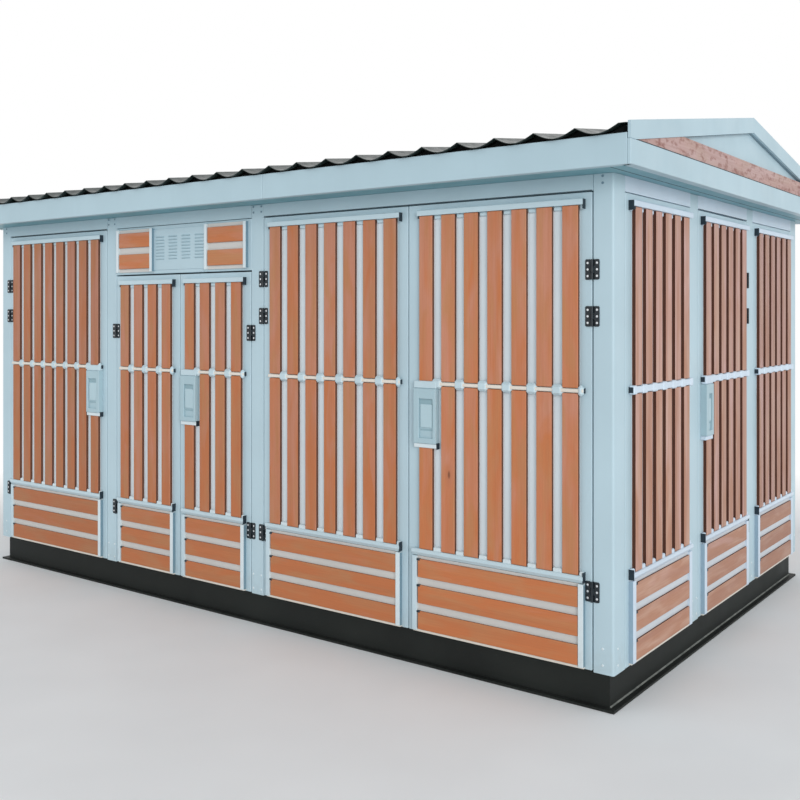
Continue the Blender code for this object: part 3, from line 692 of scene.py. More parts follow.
class Pile:
    """Solids gathered into one piece."""

    def __init__(self):
        self.points = []
        self.faces = []
        self.finishes = []
        self.grain = []
        self.tones = []
        self.darkening = 0.0

    def add(self, points, faces, finish=FACE, grain=None, tone=MIDDLE_TONE):
        """Add points and faces. finish is one number, or one for each face."""
        start = len(self.points)
        self.points += [tuple(point) for point in points]
        self.faces += [[start + i for i in face] for face in faces]
        self.finishes += finish if isinstance(finish, list) else [finish] * len(faces)
        self.grain += grain or [(0.0, 0.0, 0.0)] * len(points)
        self.tones += [tone] * len(points)

    def box(self, low, high, edge=FINE_EDGE, finish=FACE, sides=None):
        """A box with cut edges. sides are the finishes of its left and right faces."""
        points, faces = chamfered_box(low, high, edge)
        finishes = [finish] * len(faces)
        if sides:
            finishes[0], finishes[1] = sides
        self.add(points, [ring for ring, axis in faces], finishes)

    def board(self, low, high, along, tone):
        """A timber board: along is its length's axis. All but its face and back are darkened as painted
        shade.
        """
        points, faces = chamfered_box(low, high, SLAT_EDGE)
        across = 2 - along
        shift = Vector([chance.uniform(0, GRAIN_SPREAD) for axis in range(3)])
        grain = [tuple(Vector((p[across], p[1], p[along])) + shift) for p in points]
        finish = [SHADED_EDGE if axis in (0, 2) else FACE for ring, axis in faces]
        self.add(points, [ring for ring, axis in faces], finish, grain, chance.uniform(*tone))

    def prism(self, outline, direction, finish=FACE, grain=None, tone=MIDDLE_TONE):
        """A flat outline of 3-D points swept along a vector."""
        direction = Vector(direction)
        if normal_of(outline).dot(direction) > 0:
            outline = outline[::-1]
            grain = grain and grain[::-1]
        count = len(outline)
        points = [Vector(p) for p in outline]
        points += [p + direction for p in points]
        faces = [list(range(count)), [count + i for i in reversed(range(count))]]
        for i in range(count):
            j = (i + 1) % count
            faces.append([j, i, count + i, count + j])
        self.add(points, faces, finish, grain and grain * 2, tone)

    def lathe(self, foot, axis, profile, sides, finish=FACE):
        """Rings of (radius, height) about an axis, closed at both ends."""
        axis = Vector(axis).normalized()
        across = axis.orthogonal().normalized()
        beside = axis.cross(across)
        points = []
        for radius, height in profile:
            for i in range(sides):
                turn = 2 * math.pi * i / sides
                spoke = across * math.cos(turn) + beside * math.sin(turn)
                points.append(Vector(foot) + axis * height + spoke * radius)
        faces = [list(reversed(range(sides)))]
        for ring in range(len(profile) - 1):
            for i in range(sides):
                j = (i + 1) % sides
                low, high = ring * sides, (ring + 1) * sides
                faces.append([low + i, low + j, high + j, high + i])
        last = (len(profile) - 1) * sides
        faces.append([last + i for i in range(sides)])
        self.add(points, faces, finish)

    def stud(self, foot, radius, proud, finish, axis=(0, -1, 0)):
        """A low domed screw or bolt head."""
        self.lathe(foot, axis, [(radius * r, proud * h) for r, h in STUD_DOME], STUD_SIDES, finish)

    def bolt(self, foot, finish, axis=(0, -1, 0)):
        """A post's bolt head."""
        self.stud(foot, BOLT_RADIUS, BOLT_PROUD, finish, axis)

    def make(self, name, slot, finishes, place=None, replaces=(), body="housing"):
        """Turn the pile into an object that rides on a body."""
        mesh = bpy.data.meshes.new(name)
        mesh.from_pydata(self.points, [], self.faces)
        for finish in finishes:
            mesh.materials.append(finish)
        mesh.polygons.foreach_set("material_index", self.finishes)
        mesh.polygons.foreach_set("use_smooth", [True] * len(self.faces))
        mesh.set_sharp_from_angle(angle=math.radians(SHARP_ANGLE))
        if any(finish in (TIMBER, END_TIMBER, GABLE_TIMBER) for finish in finishes):
            stored = mesh.attributes.new("grain", "FLOAT_VECTOR", "POINT")
            stored.data.foreach_set("vector", [value for point in self.grain for value in point])
            for label, values in (("tone", self.tones), ("darkening", [self.darkening] * len(self.points))):
                stored = mesh.attributes.new(label, "FLOAT", "POINT")
                stored.data.foreach_set("value", values)
        if place:
            mesh.transform(place)
        mesh.update()
        made = put(name, mesh)
        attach(made, body)
        if replaces:
            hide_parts(*replaces)


# Walls

class Wall:
    """One side of the housing. Its own frame has u to the right seen from outside, -Y outwards
    and z up from the wall's foot."""

    def __init__(self, name, turn, half_run, reach, corner_leg, post, bays, cladding, dress):
        self.name = name
        self.half_run = half_run
        self.corner_leg = corner_leg
        self.post = post
        self.bays = bays
        self.cladding = cladding
        self.dress = dress
        spin = Matrix.Rotation(turn, 4, "Z")
        self.place = spin @ Matrix.Translation((0.0, -reach, BASE_HEIGHT))

    def at(self, u):
        """The frame of a piece whose middle is at u."""
        return self.place @ Matrix.Translation((u, 0.0, 0.0))

    def spans(self):
        """The u range of each bay, left to right."""
        found = []
        u = -self.half_run + self.corner_leg
        for width in self.bays:
            found.append((u, u + width))
            u += width + self.post
        return found


FRONT_BAYS = [SINGLE_BAY, MIDDLE_BAY, DOUBLE_BAY]
LONG_PLAN = (HALF_LENGTH, HALF_WIDTH, FRONT_CORNER_LEG, FRONT_POST)
END_PLAN = (HALF_WIDTH, HALF_LENGTH, END_CORNER_LEG, END_POST)

# The cladding's metal finishes by number, and what each kind of wall is dressed in: boards,
# metal, the middle rail's blocks and bar, the header, whether its posts have bolts at the
# head, the rails' capped end, and how far the rails start before the first slat
LIGHT, BAR, SIDE, BED, BACK_SHEET = range(1, 6)
Dress = namedtuple("Dress", (
    "boards slat_tones metal block block_height block_edge bar bar_height header head_bolts "
    "cap_side rail_lead"
))
LONG_DRESS = Dress(
    boards=[TIMBER, TIMBER_SIDE], slat_tones=(0.10, 0.85),
    metal=[RAIL_PAINT, PALE, HIGHLIGHT_CREAM, SHADE, BED_PAINT, LIT_BACKING_PAINT], block=FACE, block_height=MID_BLOCK_HEIGHT,
    block_edge=0.010, bar=BAR, bar_height=0.016, header=PAINT, head_bolts=True, cap_side=1,
    rail_lead=0.008,
)
END_DRESS = Dress(
    boards=[END_TIMBER, END_TIMBER_SIDE], slat_tones=(0.35, 1.00),
    metal=[LIT_END_PAINT, LIT_END_PAINT, HIGHLIGHT_CREAM, END_SHADE, END_BED, LIT_BACKING_PAINT], block=LIGHT, block_height=0.036,
    block_edge=0.004, bar=LIGHT, bar_height=0.028, header=LIT_END_PAINT, head_bolts=False, cap_side=-1,
    rail_lead=0.030,
)

# How far the timber of some leaves is made darker
LEAF_DARKENING = {
    "single_door": 1.0, "middle_door_left": 0.60, "middle_door_right": 0.50, "large_door_left": 0.40,
    "right_panel_1": 0.25, "end_door": 0.60, "right_panel_3": 1.0,
}

FRONT = Wall("front", 0.0, *LONG_PLAN, FRONT_BAYS, LONG_CLADDING, LONG_DRESS)
RIGHT = Wall("right", math.pi / 2, *END_PLAN, [END_BAY] * 3, END_CLADDING, END_DRESS)
BACK = Wall("back", math.pi, *LONG_PLAN, FRONT_BAYS[::-1], LONG_CLADDING, LONG_DRESS)
LEFT = Wall("left", -math.pi / 2, *END_PLAN, [END_BAY] * 3, END_CLADDING, END_DRESS)
WALLS = [FRONT, RIGHT, BACK, LEFT]


class Leaf:
    """One clad leaf or panel between two u lines of a wall."""

    def __init__(
        self, name, wall, span, top, gap, body="housing", hinge=0, drops=(), locked=False, inset=0.0,
        reach=0.0,
    ):
        self.name = name
        self.wall = wall
        self.width = span[1] - span[0]
        self.top = top
        self.gap = gap
        self.body = body
        self.hinge = hinge
        self.levels = [LOWER_HINGE_LEVEL] + [top - drop for drop in drops]
        self.lock = -hinge if locked else 0
        self.clad_left = wall.cladding.margin + inset - self.width / 2
        self.plank_left = wall.cladding.margin - self.width / 2
        self.clad_right = self.width / 2 - wall.cladding.margin + reach
        self.place = wall.at(sum(span) / 2)

    def slats(self):
        """The u range of each slat about the leaf's middle."""
        cladding = self.wall.cladding
        first = self.clad_left + cladding.strip
        run = self.clad_right - cladding.strip - cladding.slat - first
        count = round(run / SLAT_PITCH) + 1
        step = run / (count - 1)
        return [(first + i * step, first + i * step + cladding.slat) for i in range(count)]

    def spaces(self):
        """The u range of each space beside the slats."""
        edges = [self.clad_left]
        for span in self.slats():
            edges += span
        edges.append(self.clad_right)
        return list(zip(edges[::2], edges[1::2]))

    def axis(self):
        """The hinge axis about the leaf's middle."""
        return self.hinge * (self.width + DOOR_GAP) / 2

    def wear(self, pile, label, slot, finishes, replaces=()):
        """Put a pile on the leaf as one of its pieces."""
        pile.make(f"{self.name}_{label}", slot, finishes, self.place, replaces, self.body)

    def lock_edges(self):
        """The lock plate's two edges about the leaf's middle: at the cladding's end, and inner."""
        cladding = self.wall.cladding
        outer = self.clad_left if self.lock < 0 else self.clad_right
        return outer, outer - self.lock * (cladding.strip + cladding.slat + cladding.lock_reach)


def inside(span, gap):
    """A span less a gap at each end."""
    return span[0] + gap, span[1] - gap


def leaves():
    """Every leaf and panel of the four walls."""
    single, middle, double = FRONT.spans()
    found = []

    def door(name, wall, span, top, hinge, drops, *lock):
        found.append(Leaf(name, wall, span, top, DOOR_GAP, name, hinge, drops, *lock))

    def pair(name, bay, top, drops, *shifts):
        centre = sum(bay) / 2
        left = (bay[0] + DOOR_GAP, centre - DOOR_GAP / 2)
        right = (centre + DOOR_GAP / 2, bay[1] - DOOR_GAP)
        door(name + "_left", FRONT, left, top, -1, drops)
        door(name + "_right", FRONT, right, top, 1, drops, True, *shifts)

    door("single_door", FRONT, inside(single, DOOR_GAP), OPENING_HEIGHT, -1, TALL_HINGE_DROPS, True)
    pair("middle_door", middle, MIDDLE_DOOR_HEIGHT, MIDDLE_HINGE_DROPS)
    pair("large_door", double, OPENING_HEIGHT, TALL_HINGE_DROPS, LARGE_RIGHT_INSET, LARGE_RIGHT_REACH)
    end_span = inside(RIGHT.spans()[1], DOOR_GAP)
    door("end_door", RIGHT, end_span, OPENING_HEIGHT, 1, TALL_HINGE_DROPS, True)
    for wall, bays in ((BACK, (0, 1, 2)), (LEFT, (0, 1, 2)), (RIGHT, (0, 2))):
        for index in bays:
            span = inside(wall.spans()[index], PANEL_GAP)
            found.append(Leaf(f"{wall.name}_panel_{index + 1}", wall, span, OPENING_HEIGHT, PANEL_GAP))
    return found


# Cladding

def add_plug(plugs_and_shadows, leaf, proud, low, high):
    """A black plug in a rail's open end."""
    side = leaf.wall.dress.cap_side
    end = leaf.clad_right if side > 0 else leaf.clad_left
    u = sorted((end - side * PLUG_ROOT, end + side * PLUG_LAP))
    near = (u[0], -proud + PLUG_INSET, low + PLUG_INSET)
    plugs_and_shadows.box(near, (u[1], -SEAT, high - PLUG_INSET), PLATE_EDGE)


def add_rail(metal, plugs_and_shadows, profile, leaf, start, plug_low, plug_high):
    """A rail swept from its start to the cladding's right end."""
    section = [(start, -proud, z) for proud, z in profile]
    metal.prism(section, (leaf.clad_right - start, 0.0, 0.0))
    add_plug(plugs_and_shadows, leaf, max(proud for proud, z in profile), plug_low, plug_high)


def top_rail_profile(low):
    """A folded rail with a round upper edge."""
    high = low + TOP_RAIL_HEIGHT
    return [
        (0.0, low), (RAIL_PROUD, low), (RAIL_PROUD, high - RAIL_ROUND),
        (RAIL_PROUD - RAIL_ROUND, high), (0.0, high),
    ]


def lower_rail_profile(low):
    """A folded rail whose lower half falls back to the planks."""
    high = low + LOWER_RAIL_HEIGHT
    return [
        (0.0, low), (RAIL_PROUD - RAIL_CHEEK, low), (RAIL_PROUD, low + LOWER_RAIL_HEIGHT / 2),
        (RAIL_PROUD, high - RAIL_ROUND), (RAIL_PROUD - RAIL_ROUND, high), (0.0, high),
    ]


def add_teeth(leaf, metal, low, high, proud, finish):
    """Teeth of a rail that fill the spaces between the slats."""
    lead = leaf.slats()[0][0] - leaf.wall.dress.rail_lead
    for start, end in leaf.spaces():
        start = max(start, lead) + TOOTH_GAP
        if end - TOOTH_GAP - start > 2 * TOOTH_EDGE:
            metal.box((start, -proud, low), (end - TOOTH_GAP, 0.0, high), TOOTH_EDGE, finish)


def add_mid_rail(leaf, metal, plugs_and_shadows):
    """A thin bar across the slats, with a block in each space between them."""
    dress = leaf.wall.dress
    bar = (MID_RAIL_LEVEL - dress.bar_height / 2, MID_RAIL_LEVEL + dress.bar_height / 2)
    block = (MID_RAIL_LEVEL - dress.block_height / 2, MID_RAIL_LEVEL + dress.block_height / 2)
    edge = dress.block_edge
    lead = leaf.slats()[0][0] - dress.rail_lead
    for start, end in leaf.spaces():
        low = (max(start - MID_BLOCK_LAP, lead), -MID_BLOCK_PROUD, block[0])
        high = (min(end + MID_BLOCK_LAP, leaf.clad_right), -LAP, block[1])
        if high[0] - low[0] > 2 * edge:
            metal.box(low, high, edge, dress.block)
    ends = (lead + BACKING_INSET, leaf.clad_right - BACKING_INSET)
    metal.box((ends[0], -MID_BAR_PROUD, bar[0]), (ends[1], -LAP, bar[1]), BAR_EDGE, dress.bar)
    if leaf.lock:
        u = sorted(leaf.lock_edges())
        cover = (u[0] + SEAT, -MID_BLOCK_PROUD - LAP, MID_BLOCK_LOW)
        metal.box(cover, (u[1] - SEAT, -2 * LAP, bar[1] + MID_BAR_SLOT), BAR_EDGE)
    add_plug(plugs_and_shadows, leaf, MID_BLOCK_PROUD - edge, block[0] + edge, block[1] - edge)


def add_slats(leaf, boards, low, high):
    """The upright slats, each in two lengths that stop at the middle bar."""
    slats = leaf.slats()
    locked = {-1: slats[0], 1: slats[-1]}.get(leaf.lock)
    reach = leaf.wall.dress.bar_height / 2 + MID_BAR_SLOT
    for span in slats:
        head = LOCK_LOW - LOCK_BAR_HEIGHT if span == locked else MID_RAIL_LEVEL - reach
        for z in ((low, head), (MID_RAIL_LEVEL + reach, high)):
            low_corner = (span[0], -SLAT_PROUD, z[0])
            boards.board(low_corner, (span[1], -SLAT_SEAT, z[1]), 2, leaf.wall.dress.slat_tones)


def add_plank(boards, plugs_and_shadows, inner, foot, head):
    """One plank on its bed between two strips, with a black mark at its left end as painted shadow in the
    gap.
    """
    bed = -PLANK_BED_PROUD
    start = inner[0] + PLANK_LEFT_GAP
    far = (inner[1] - PLANK_END_GAP, bed, head)
    boards.board((start, -SLAT_PROUD, foot), far, 0, PLANK_TONES)
    plugs_and_shadows.box((inner[0], bed - SHADOW_MARK_PROUD, foot), (start, bed + LAP, head), MARK_EDGE)


def add_planks(leaf, metal, plugs_and_shadows, boards, high):
    """The planks with their bed, strips and foot fold, and a black mark on each plank's upper
    left corner as painted shadow."""
    strip = leaf.wall.cladding.strip
    left, right = leaf.plank_left, leaf.clad_right
    low = PLANK_LEVEL - FOOT_FOLD_HEIGHT
    inner = (left + strip, right - strip)
    metal.box((left + LAP, -PLANK_BED_PROUD, low), (right - LAP, SEAT, high), BED_EDGE, BED)
    fold = (left + LAP, -FOOT_FOLD_PROUD, low - FOOT_FOLD_HEIGHT)
    metal.box(fold, (right - LAP, 0.0, PLANK_LEVEL - LAP), CAP_EDGE, BAR)
    # The strips' outer sides are in the shade paint, as painted shade
    metal.box((left, -STRIP_PROUD, low), (inner[0], 0.0, high), STRIP_EDGE, FACE, (SIDE, LIGHT))
    metal.box((inner[1], -STRIP_PROUD, low), (right, 0.0, high), STRIP_EDGE, LIGHT, (LIGHT, SIDE))
    for index in range(PLANK_COUNT):
        foot = PLANK_LEVEL + index * PLANK_PITCH
        head = foot + PLANK_HEIGHT
        add_plank(boards, plugs_and_shadows, inner, foot, head)
        far = (inner[0] + PLANK_LEFT_GAP + SHADOW_MARK_WIDTH, -PLANK_BED_PROUD, head + LAP)
        plugs_and_shadows.box((inner[0], -SLAT_PROUD - LAP, head - SHADOW_MARK_HEIGHT), far, CAP_EDGE)


def add_lock_bar(leaf, metal, plugs_and_shadows):
    """The short bar under a lock plate, with a black cap on its end."""
    start, end = sorted(leaf.lock_edges())
    low = LOCK_LOW - LOCK_BAR_HEIGHT
    metal.box((start, -RAIL_PROUD, low), (end, 0.0, LOCK_LOW - LAP), CASE_EDGE, LIGHT)
    near = (end, -RAIL_PROUD + PLUG_INSET, low - LOCK_CAP_LAP)
    plugs_and_shadows.box(near, (end + LOCK_CAP_THICKNESS, -PLUG_INSET, LOCK_LOW + LOCK_CAP_LAP))


def clad(leaf):
    """Rails, slats, planks and strips on one leaf."""
    metal = Pile()
    plugs_and_shadows = Pile()
    boards = Pile()
    boards.darkening = LEAF_DARKENING.get(leaf.name, 0.0)
    slats = leaf.slats()
    top_high = leaf.top - TOP_RAIL_DROP
    top_low = top_high - TOP_RAIL_HEIGHT
    low = LOWER_RAIL_LEVEL
    slat_low = low + LOWER_RAIL_HEIGHT + LAP
    back = (slats[-1][1] - BACKING_INSET, SEAT, top_low + SLAT_SEAT)
    metal.box((slats[0][0] + BACKING_INSET, -BACKING, low), back, MARK_EDGE, BACK_SHEET)
    lead = slats[0][0] - leaf.wall.dress.rail_lead
    add_rail(metal, plugs_and_shadows, top_rail_profile(top_low), leaf, lead, top_low - TOP_TOOTH_HEIGHT, top_high)
    upper = slat_low + LOWER_TOOTH_HEIGHT
    add_rail(metal, plugs_and_shadows, lower_rail_profile(low), leaf, leaf.plank_left, low, upper)
    add_teeth(leaf, metal, top_low - TOP_TOOTH_HEIGHT, top_low + LAP, TOP_TOOTH_PROUD, FACE)
    add_teeth(leaf, metal, slat_low - TOOTH_ROOT, upper, LOWER_TOOTH_PROUD, LIGHT)
    add_mid_rail(leaf, metal, plugs_and_shadows)
    add_slats(leaf, boards, slat_low, top_low - LAP)
    add_planks(leaf, metal, plugs_and_shadows, boards, low - RAIL_SLOT)
    # A black mark beside the first slat's top, as painted shadow under the rail
    stop = (slats[0][0], -SLAT_SEAT, top_low)
    plugs_and_shadows.box((stop[0] - SHADOW_MARK_HEIGHT, -SLAT_PROUD, top_low - SHADOW_MARK_WIDTH), stop, CAP_EDGE)
    if leaf.lock:
        add_lock_bar(leaf, metal, plugs_and_shadows)
    leaf.wear(metal, "rails", "painted_steel", leaf.wall.dress.metal)
    leaf.wear(plugs_and_shadows, "plugs_and_shadows", "black_steel", [BLACK_PLASTIC_AND_SHADOW])
    leaf.wear(boards, "boards", "timber", leaf.wall.dress.boards)


def pan(leaf, low):
    """The leaf itself: a face sheet with four returns, inward flanges and stiffeners."""
    shape = Pile()
    half = leaf.width / 2
    high = leaf.top - leaf.gap
    back = LEAF_THICKNESS
    flange = back - PAN_SHEET
    ends = (low + FOLD_SHORT, high - FOLD_SHORT)
    shape.box((-half, 0.0, low), (half, PAN_SHEET + FOLD_RADIUS, high), FOLD_RADIUS)
    for side in (-1, 1):
        u = on_side(side, half - SEAT, half - PAN_SHEET)
        shape.box((u[0], PAN_SHEET, ends[0]), (u[1], back, ends[1]), PLATE_EDGE)
        u = on_side(side, half, half - PAN_FLANGE)
        shape.box((u[0], flange, ends[0]), (u[1], back, ends[1]), PLATE_EDGE)
    for foot, head in ((low + SEAT, low + PAN_SHEET), (high - PAN_SHEET, high - SEAT)):
        shape.box((-half + FOLD_SHORT, PAN_SHEET, foot), (half - FOLD_SHORT, back, head), PLATE_EDGE)
    for foot, head in ((low, low + PAN_FLANGE), (high - PAN_FLANGE, high)):
        shape.box((-half + PAN_FLANGE, flange, foot), (half - PAN_FLANGE, back, head), PLATE_EDGE)
    reach = half - PAN_FLANGE - STIFFENER_END_GAP
    for part in STIFFENER_PARTS:
        foot = low + part * (high - low) - STIFFENER_WIDTH / 2
        far = (reach, PAN_SHEET + STIFFENER_DEPTH, foot + STIFFENER_WIDTH)
        shape.box((-reach, PAN_SHEET, foot), far, STIFFENER_EDGE)
    leaf.wear(shape, "pan", "painted_steel", [PAINT], (leaf.name,))


# Hinges, locks and the vent panel. Finishes by number, after each piece's own: a hinge's
# screws, a lock's paddle and dark marks, painted shadow and a key mark, and the louvres' slots.

SCREW = 1
PADDLE, MARK = 1, 2
SLOT = BAR


def rounded_outline(low, high, radius, y):
    """A rectangle in (u, z) with round corners, at one y."""
    outline = []
    for cu, cz, start in (
        (high[0] - radius, low[1] + radius, -90), (high[0] - radius, high[1] - radius, 0),
        (low[0] + radius, high[1] - radius, 90), (low[0] + radius, low[1] + radius, 180),
    ):
        for step in range(PLATE_ARC_STEPS + 1):
            turn = math.radians(start + 90 * step / PLATE_ARC_STEPS)
            outline.append((cu + radius * math.cos(turn), y, cz + radius * math.sin(turn)))
    return outline


def hinge_half(shape, axis_u, side, level, knuckles):
    """One plate of a butt hinge with its knuckles and three screws. Finishes: hinge, screw."""
    low = level - HINGE_HEIGHT / 2
    near = KNUCKLE_RADIUS + PLATE_CLEARANCE
    u = sorted((axis_u + side * near, axis_u + side * HINGE_WIDTH / 2))
    outline = rounded_outline((u[0], low), (u[1], low + HINGE_HEIGHT), HINGE_CORNER, 0.0)
    shape.prism(outline, (0.0, -HINGE_PLATE, 0.0))
    third = HINGE_HEIGHT / 3
    for index in knuckles:
        foot = low + index * third + KNUCKLE_CLEARANCE / 2
        height = third - KNUCKLE_CLEARANCE
        profile = [
            (KNUCKLE_RADIUS - FINE_EDGE, 0.0), (KNUCKLE_RADIUS, FINE_EDGE),
            (KNUCKLE_RADIUS, height - FINE_EDGE), (KNUCKLE_RADIUS - FINE_EDGE, height),
        ]
        shape.lathe((axis_u, -AXIS_PROUD, foot), (0, 0, 1), profile, KNUCKLE_SIDES)
        tab = sorted((axis_u, axis_u + side * (near + HINGE_PLATE)))
        shape.box((tab[0], -HINGE_PLATE, foot), (tab[1], -SEAT, foot + height), TAB_EDGE)
    for step in (-1, 0, 1):
        foot = (axis_u + side * SCREW_REACH, -HINGE_PLATE, level + step * SCREW_PITCH)
        shape.stud(foot, SCREW_RADIUS, SCREW_PROUD, SCREW)


def hang(leaf):
    """A leaf's hinges, one half on the leaf and one on the frame."""
    moving = Pile()
    fixed = Pile()
    for level in leaf.levels:
        hinge_half(moving, leaf.axis(), -leaf.hinge, level, (1,))
        hinge_half(fixed, leaf.axis(), leaf.hinge, level, (0, 2))
    leaf.wear(moving, "hinges", "black_steel", [HINGE, ZINC])
    fixed.make(leaf.name + "_frame_hinges", "black_steel", [HINGE, ZINC], leaf.place)


def lock_plate(leaf):
    """The plate with a paddle in a recess, painted shadow above it and at its right, over a key slot."""
    shape = Pile()
    outer, inner = leaf.lock_edges()
    plate_left, plate_right = sorted((outer, inner))
    pocket = (outer - leaf.lock * PADDLE_OUTER_MARGIN, inner + leaf.lock * PADDLE_INNER_MARGIN)
    left, right = sorted(pocket)
    high = MID_BLOCK_LOW - SEAT
    pocket_high = high - PADDLE_DROP
    pocket_low = pocket_high - PADDLE_HEIGHT
    paddle_high = pocket_high - PADDLE_BAND
    paddle_low = paddle_high - PADDLE_LENGTH
    key_high = paddle_low - PADDLE_RIM
    floor = -LOCK_PROUD + PADDLE_RECESS
    near = (plate_left + SEAT, floor, LOCK_LOW + SEAT)
    shape.box(near, (plate_right - SEAT, -SEAT, high - SEAT), CAP_EDGE)
    for start, end, foot, head in (
        (plate_left, left, LOCK_LOW, high), (right, plate_right, LOCK_LOW, high),
        (left - CASE_EDGE, right + CASE_EDGE, pocket_high, high),
        (left - CASE_EDGE, right + CASE_EDGE, LOCK_LOW, pocket_low),
    ):
        shape.box((start, -LOCK_PROUD, foot), (end, floor + LAP, head), CASE_EDGE)
    rim = (left + PADDLE_RIM, right - PADDLE_RIM)
    shape.box((rim[0], floor - PADDLE_PROUD, paddle_low), (rim[1], floor, paddle_high), BAR_EDGE, PADDLE)
    # Painted shadow under the recess's top and down its right side, then the key mark
    for start, end, foot, head in (
        (left, right, paddle_high, pocket_high),
        (right - PADDLE_SHADOW, right, pocket_low, paddle_high),
        (*rim, key_high - KEY_MARK_HEIGHT, key_high),
    ):
        shape.box((start, floor - LAP, foot), (end, floor + LAP, head), MARK_EDGE, MARK)
    finishes = [SHADED_LOCK_PAINT, PADDLE_PAINT, SLOT_SHADE_PAINT]
    leaf.wear(shape, "lock_case", "painted_steel", finishes, (leaf.name + "_lock",))


def louvre(shape, u, z):
    """A pressed hood, open below, over a slot dark as painted shade."""
    low = z - LOUVRE_HEIGHT / 2
    high = z + LOUVRE_HEIGHT / 2
    left = u - LOUVRE_WIDTH / 2
    face = -VENT_PLATE_PROUD
    lip = low + LOUVRE_LIP
    outline = [(left, face, high), (left, face - LOUVRE_PROUD, lip), (left, face, lip)]
    shape.prism(outline, (LOUVRE_WIDTH, 0.0, 0.0))
    far = (left + LOUVRE_WIDTH, face + LAP, lip)
    shape.box((left, face - SLOT_PROUD, low - LAP), far, TAB_EDGE, SLOT)


def add_vent_planks(side, half, low, top, metal, boards, painted_shadows):
    """The short planks beside the louvre plate, with their bed and strips."""
    rows = VENT_PLANK_COUNT
    plank = (top - low - 2 * VENT_EDGE - (rows - 1) * VENT_PLANK_GAP) / rows
    left, right = on_side(side, half, half - 2 * VENT_STRIP - VENT_PLANK_LENGTH)
    z = (low + VENT_EDGE - VENT_STRIP, top - VENT_EDGE + VENT_STRIP)
    inner = (left + VENT_STRIP, right - VENT_STRIP)
    # The right strip's outer side is in the shade paint, as painted shade
    for start, end, sides in ((left, inner[0], None), (inner[1], right, (LIGHT, SIDE))):
        metal.box((start, -STRIP_PROUD, z[0]), (end, 0.0, z[1]), STRIP_EDGE, LIGHT, sides)
    metal.box((inner[0], -PLANK_BED_PROUD, z[0]), (inner[1], 0.0, z[1]), BED_EDGE, BED)
    for index in range(rows):
        foot = low + VENT_EDGE + index * (plank + VENT_PLANK_GAP)
        add_plank(boards, painted_shadows, inner, foot, foot + plank)


def vent_panel():
    """The fixed panel over the middle doors: planks on both sides of a louvre plate."""
    start, end = FRONT.spans()[1]
    half = (end - start - 2 * SEAT) / 2
    low = MIDDLE_DOOR_HEIGHT + PANEL_GAP
    top = OPENING_HEIGHT - PANEL_GAP
    place = FRONT.at((start + end) / 2)
    metal = Pile()
    boards = Pile()
    painted_shadows = Pile()
    metal.box((-half, 0.0, low), (half, LEAF_THICKNESS, top), FOLD_RADIUS)
    for side in (-1, 1):
        add_vent_planks(side, half - VENT_MARGIN, low, top, metal, boards, painted_shadows)
    plate = VENT_PLATE_WIDTH / 2
    metal.box((-plate, -VENT_PLATE_PROUD, low + VENT_STRIP), (plate, 0.0, top - VENT_STRIP), CAP_EDGE)
    for column in range(LOUVRE_COLUMNS):
        for row in range(LOUVRE_ROWS):
            u = (column - (LOUVRE_COLUMNS - 1) / 2) * LOUVRE_PITCH[0]
            z = (low + top) / 2 + LOUVRE_RAISE + (row - (LOUVRE_ROWS - 1) / 2) * LOUVRE_PITCH[1]
            louvre(metal, u, z)
    finishes = [PAINT, PALE, SLOT_SHADE_PAINT, SHADE, BED_PAINT]
    metal.make("vent_plate", "painted_steel", finishes, place, ("vent_panel",))
    # The black marks at the vent planks' left ends, as painted shadow
    painted_shadows.make("vent_stops", "black_steel", [BLACK_PLASTIC_AND_SHADOW], place)
    boards.make("vent_boards", "timber", [TIMBER, TIMBER_SIDE], place)


# Frame. A post's bolts have the second finish at the foot, a pale paint as painted light, and the third at
# the head, the shade paint as painted shade under the eave.

FOOT_BOLT, HEAD_BOLT = 1, 2


def posts(wall):
    """The uprights between the bays, bolted at the foot, and at the head where the wall's dress has head
    bolts.
    """
    spans = wall.spans()
    foot = SEAT
    top = SOFFIT - BASE_HEIGHT - SEAT
    for index, (left, right) in enumerate(zip(spans, spans[1:])):
        shape = Pile()
        middle = (left[1] + right[0]) / 2
        half = wall.post / 2
        back = HEADER_BACK - SEAT
        shape.box((-half, 0.0, foot), (half, back, top), FOLD_RADIUS)
        head = (half - SEAT, POST_DEPTH, OPENING_HEIGHT - SEAT)
        shape.box((-half + SEAT, back - FOLD_RADIUS, foot + SEAT), head, FOLD_RADIUS)
        bolts = [(level, FOOT_BOLT) for level in POST_BOLT_LEVELS]
        if wall.dress.head_bolts:
            bolts += [(top - drop, HEAD_BOLT) for drop in POST_BOLT_DROPS]
        for side in (-1, 1):
            for level, finish in bolts:
                shape.bolt((side * POST_BOLT_SPREAD, 0.0, level), finish)
        name = f"{wall.name}_post_{index + 1}"
        finishes = [PAINT, PALE, SHADE]
        shape.make(name + "_upright", "painted_steel", finishes, wall.at(middle), (name,))


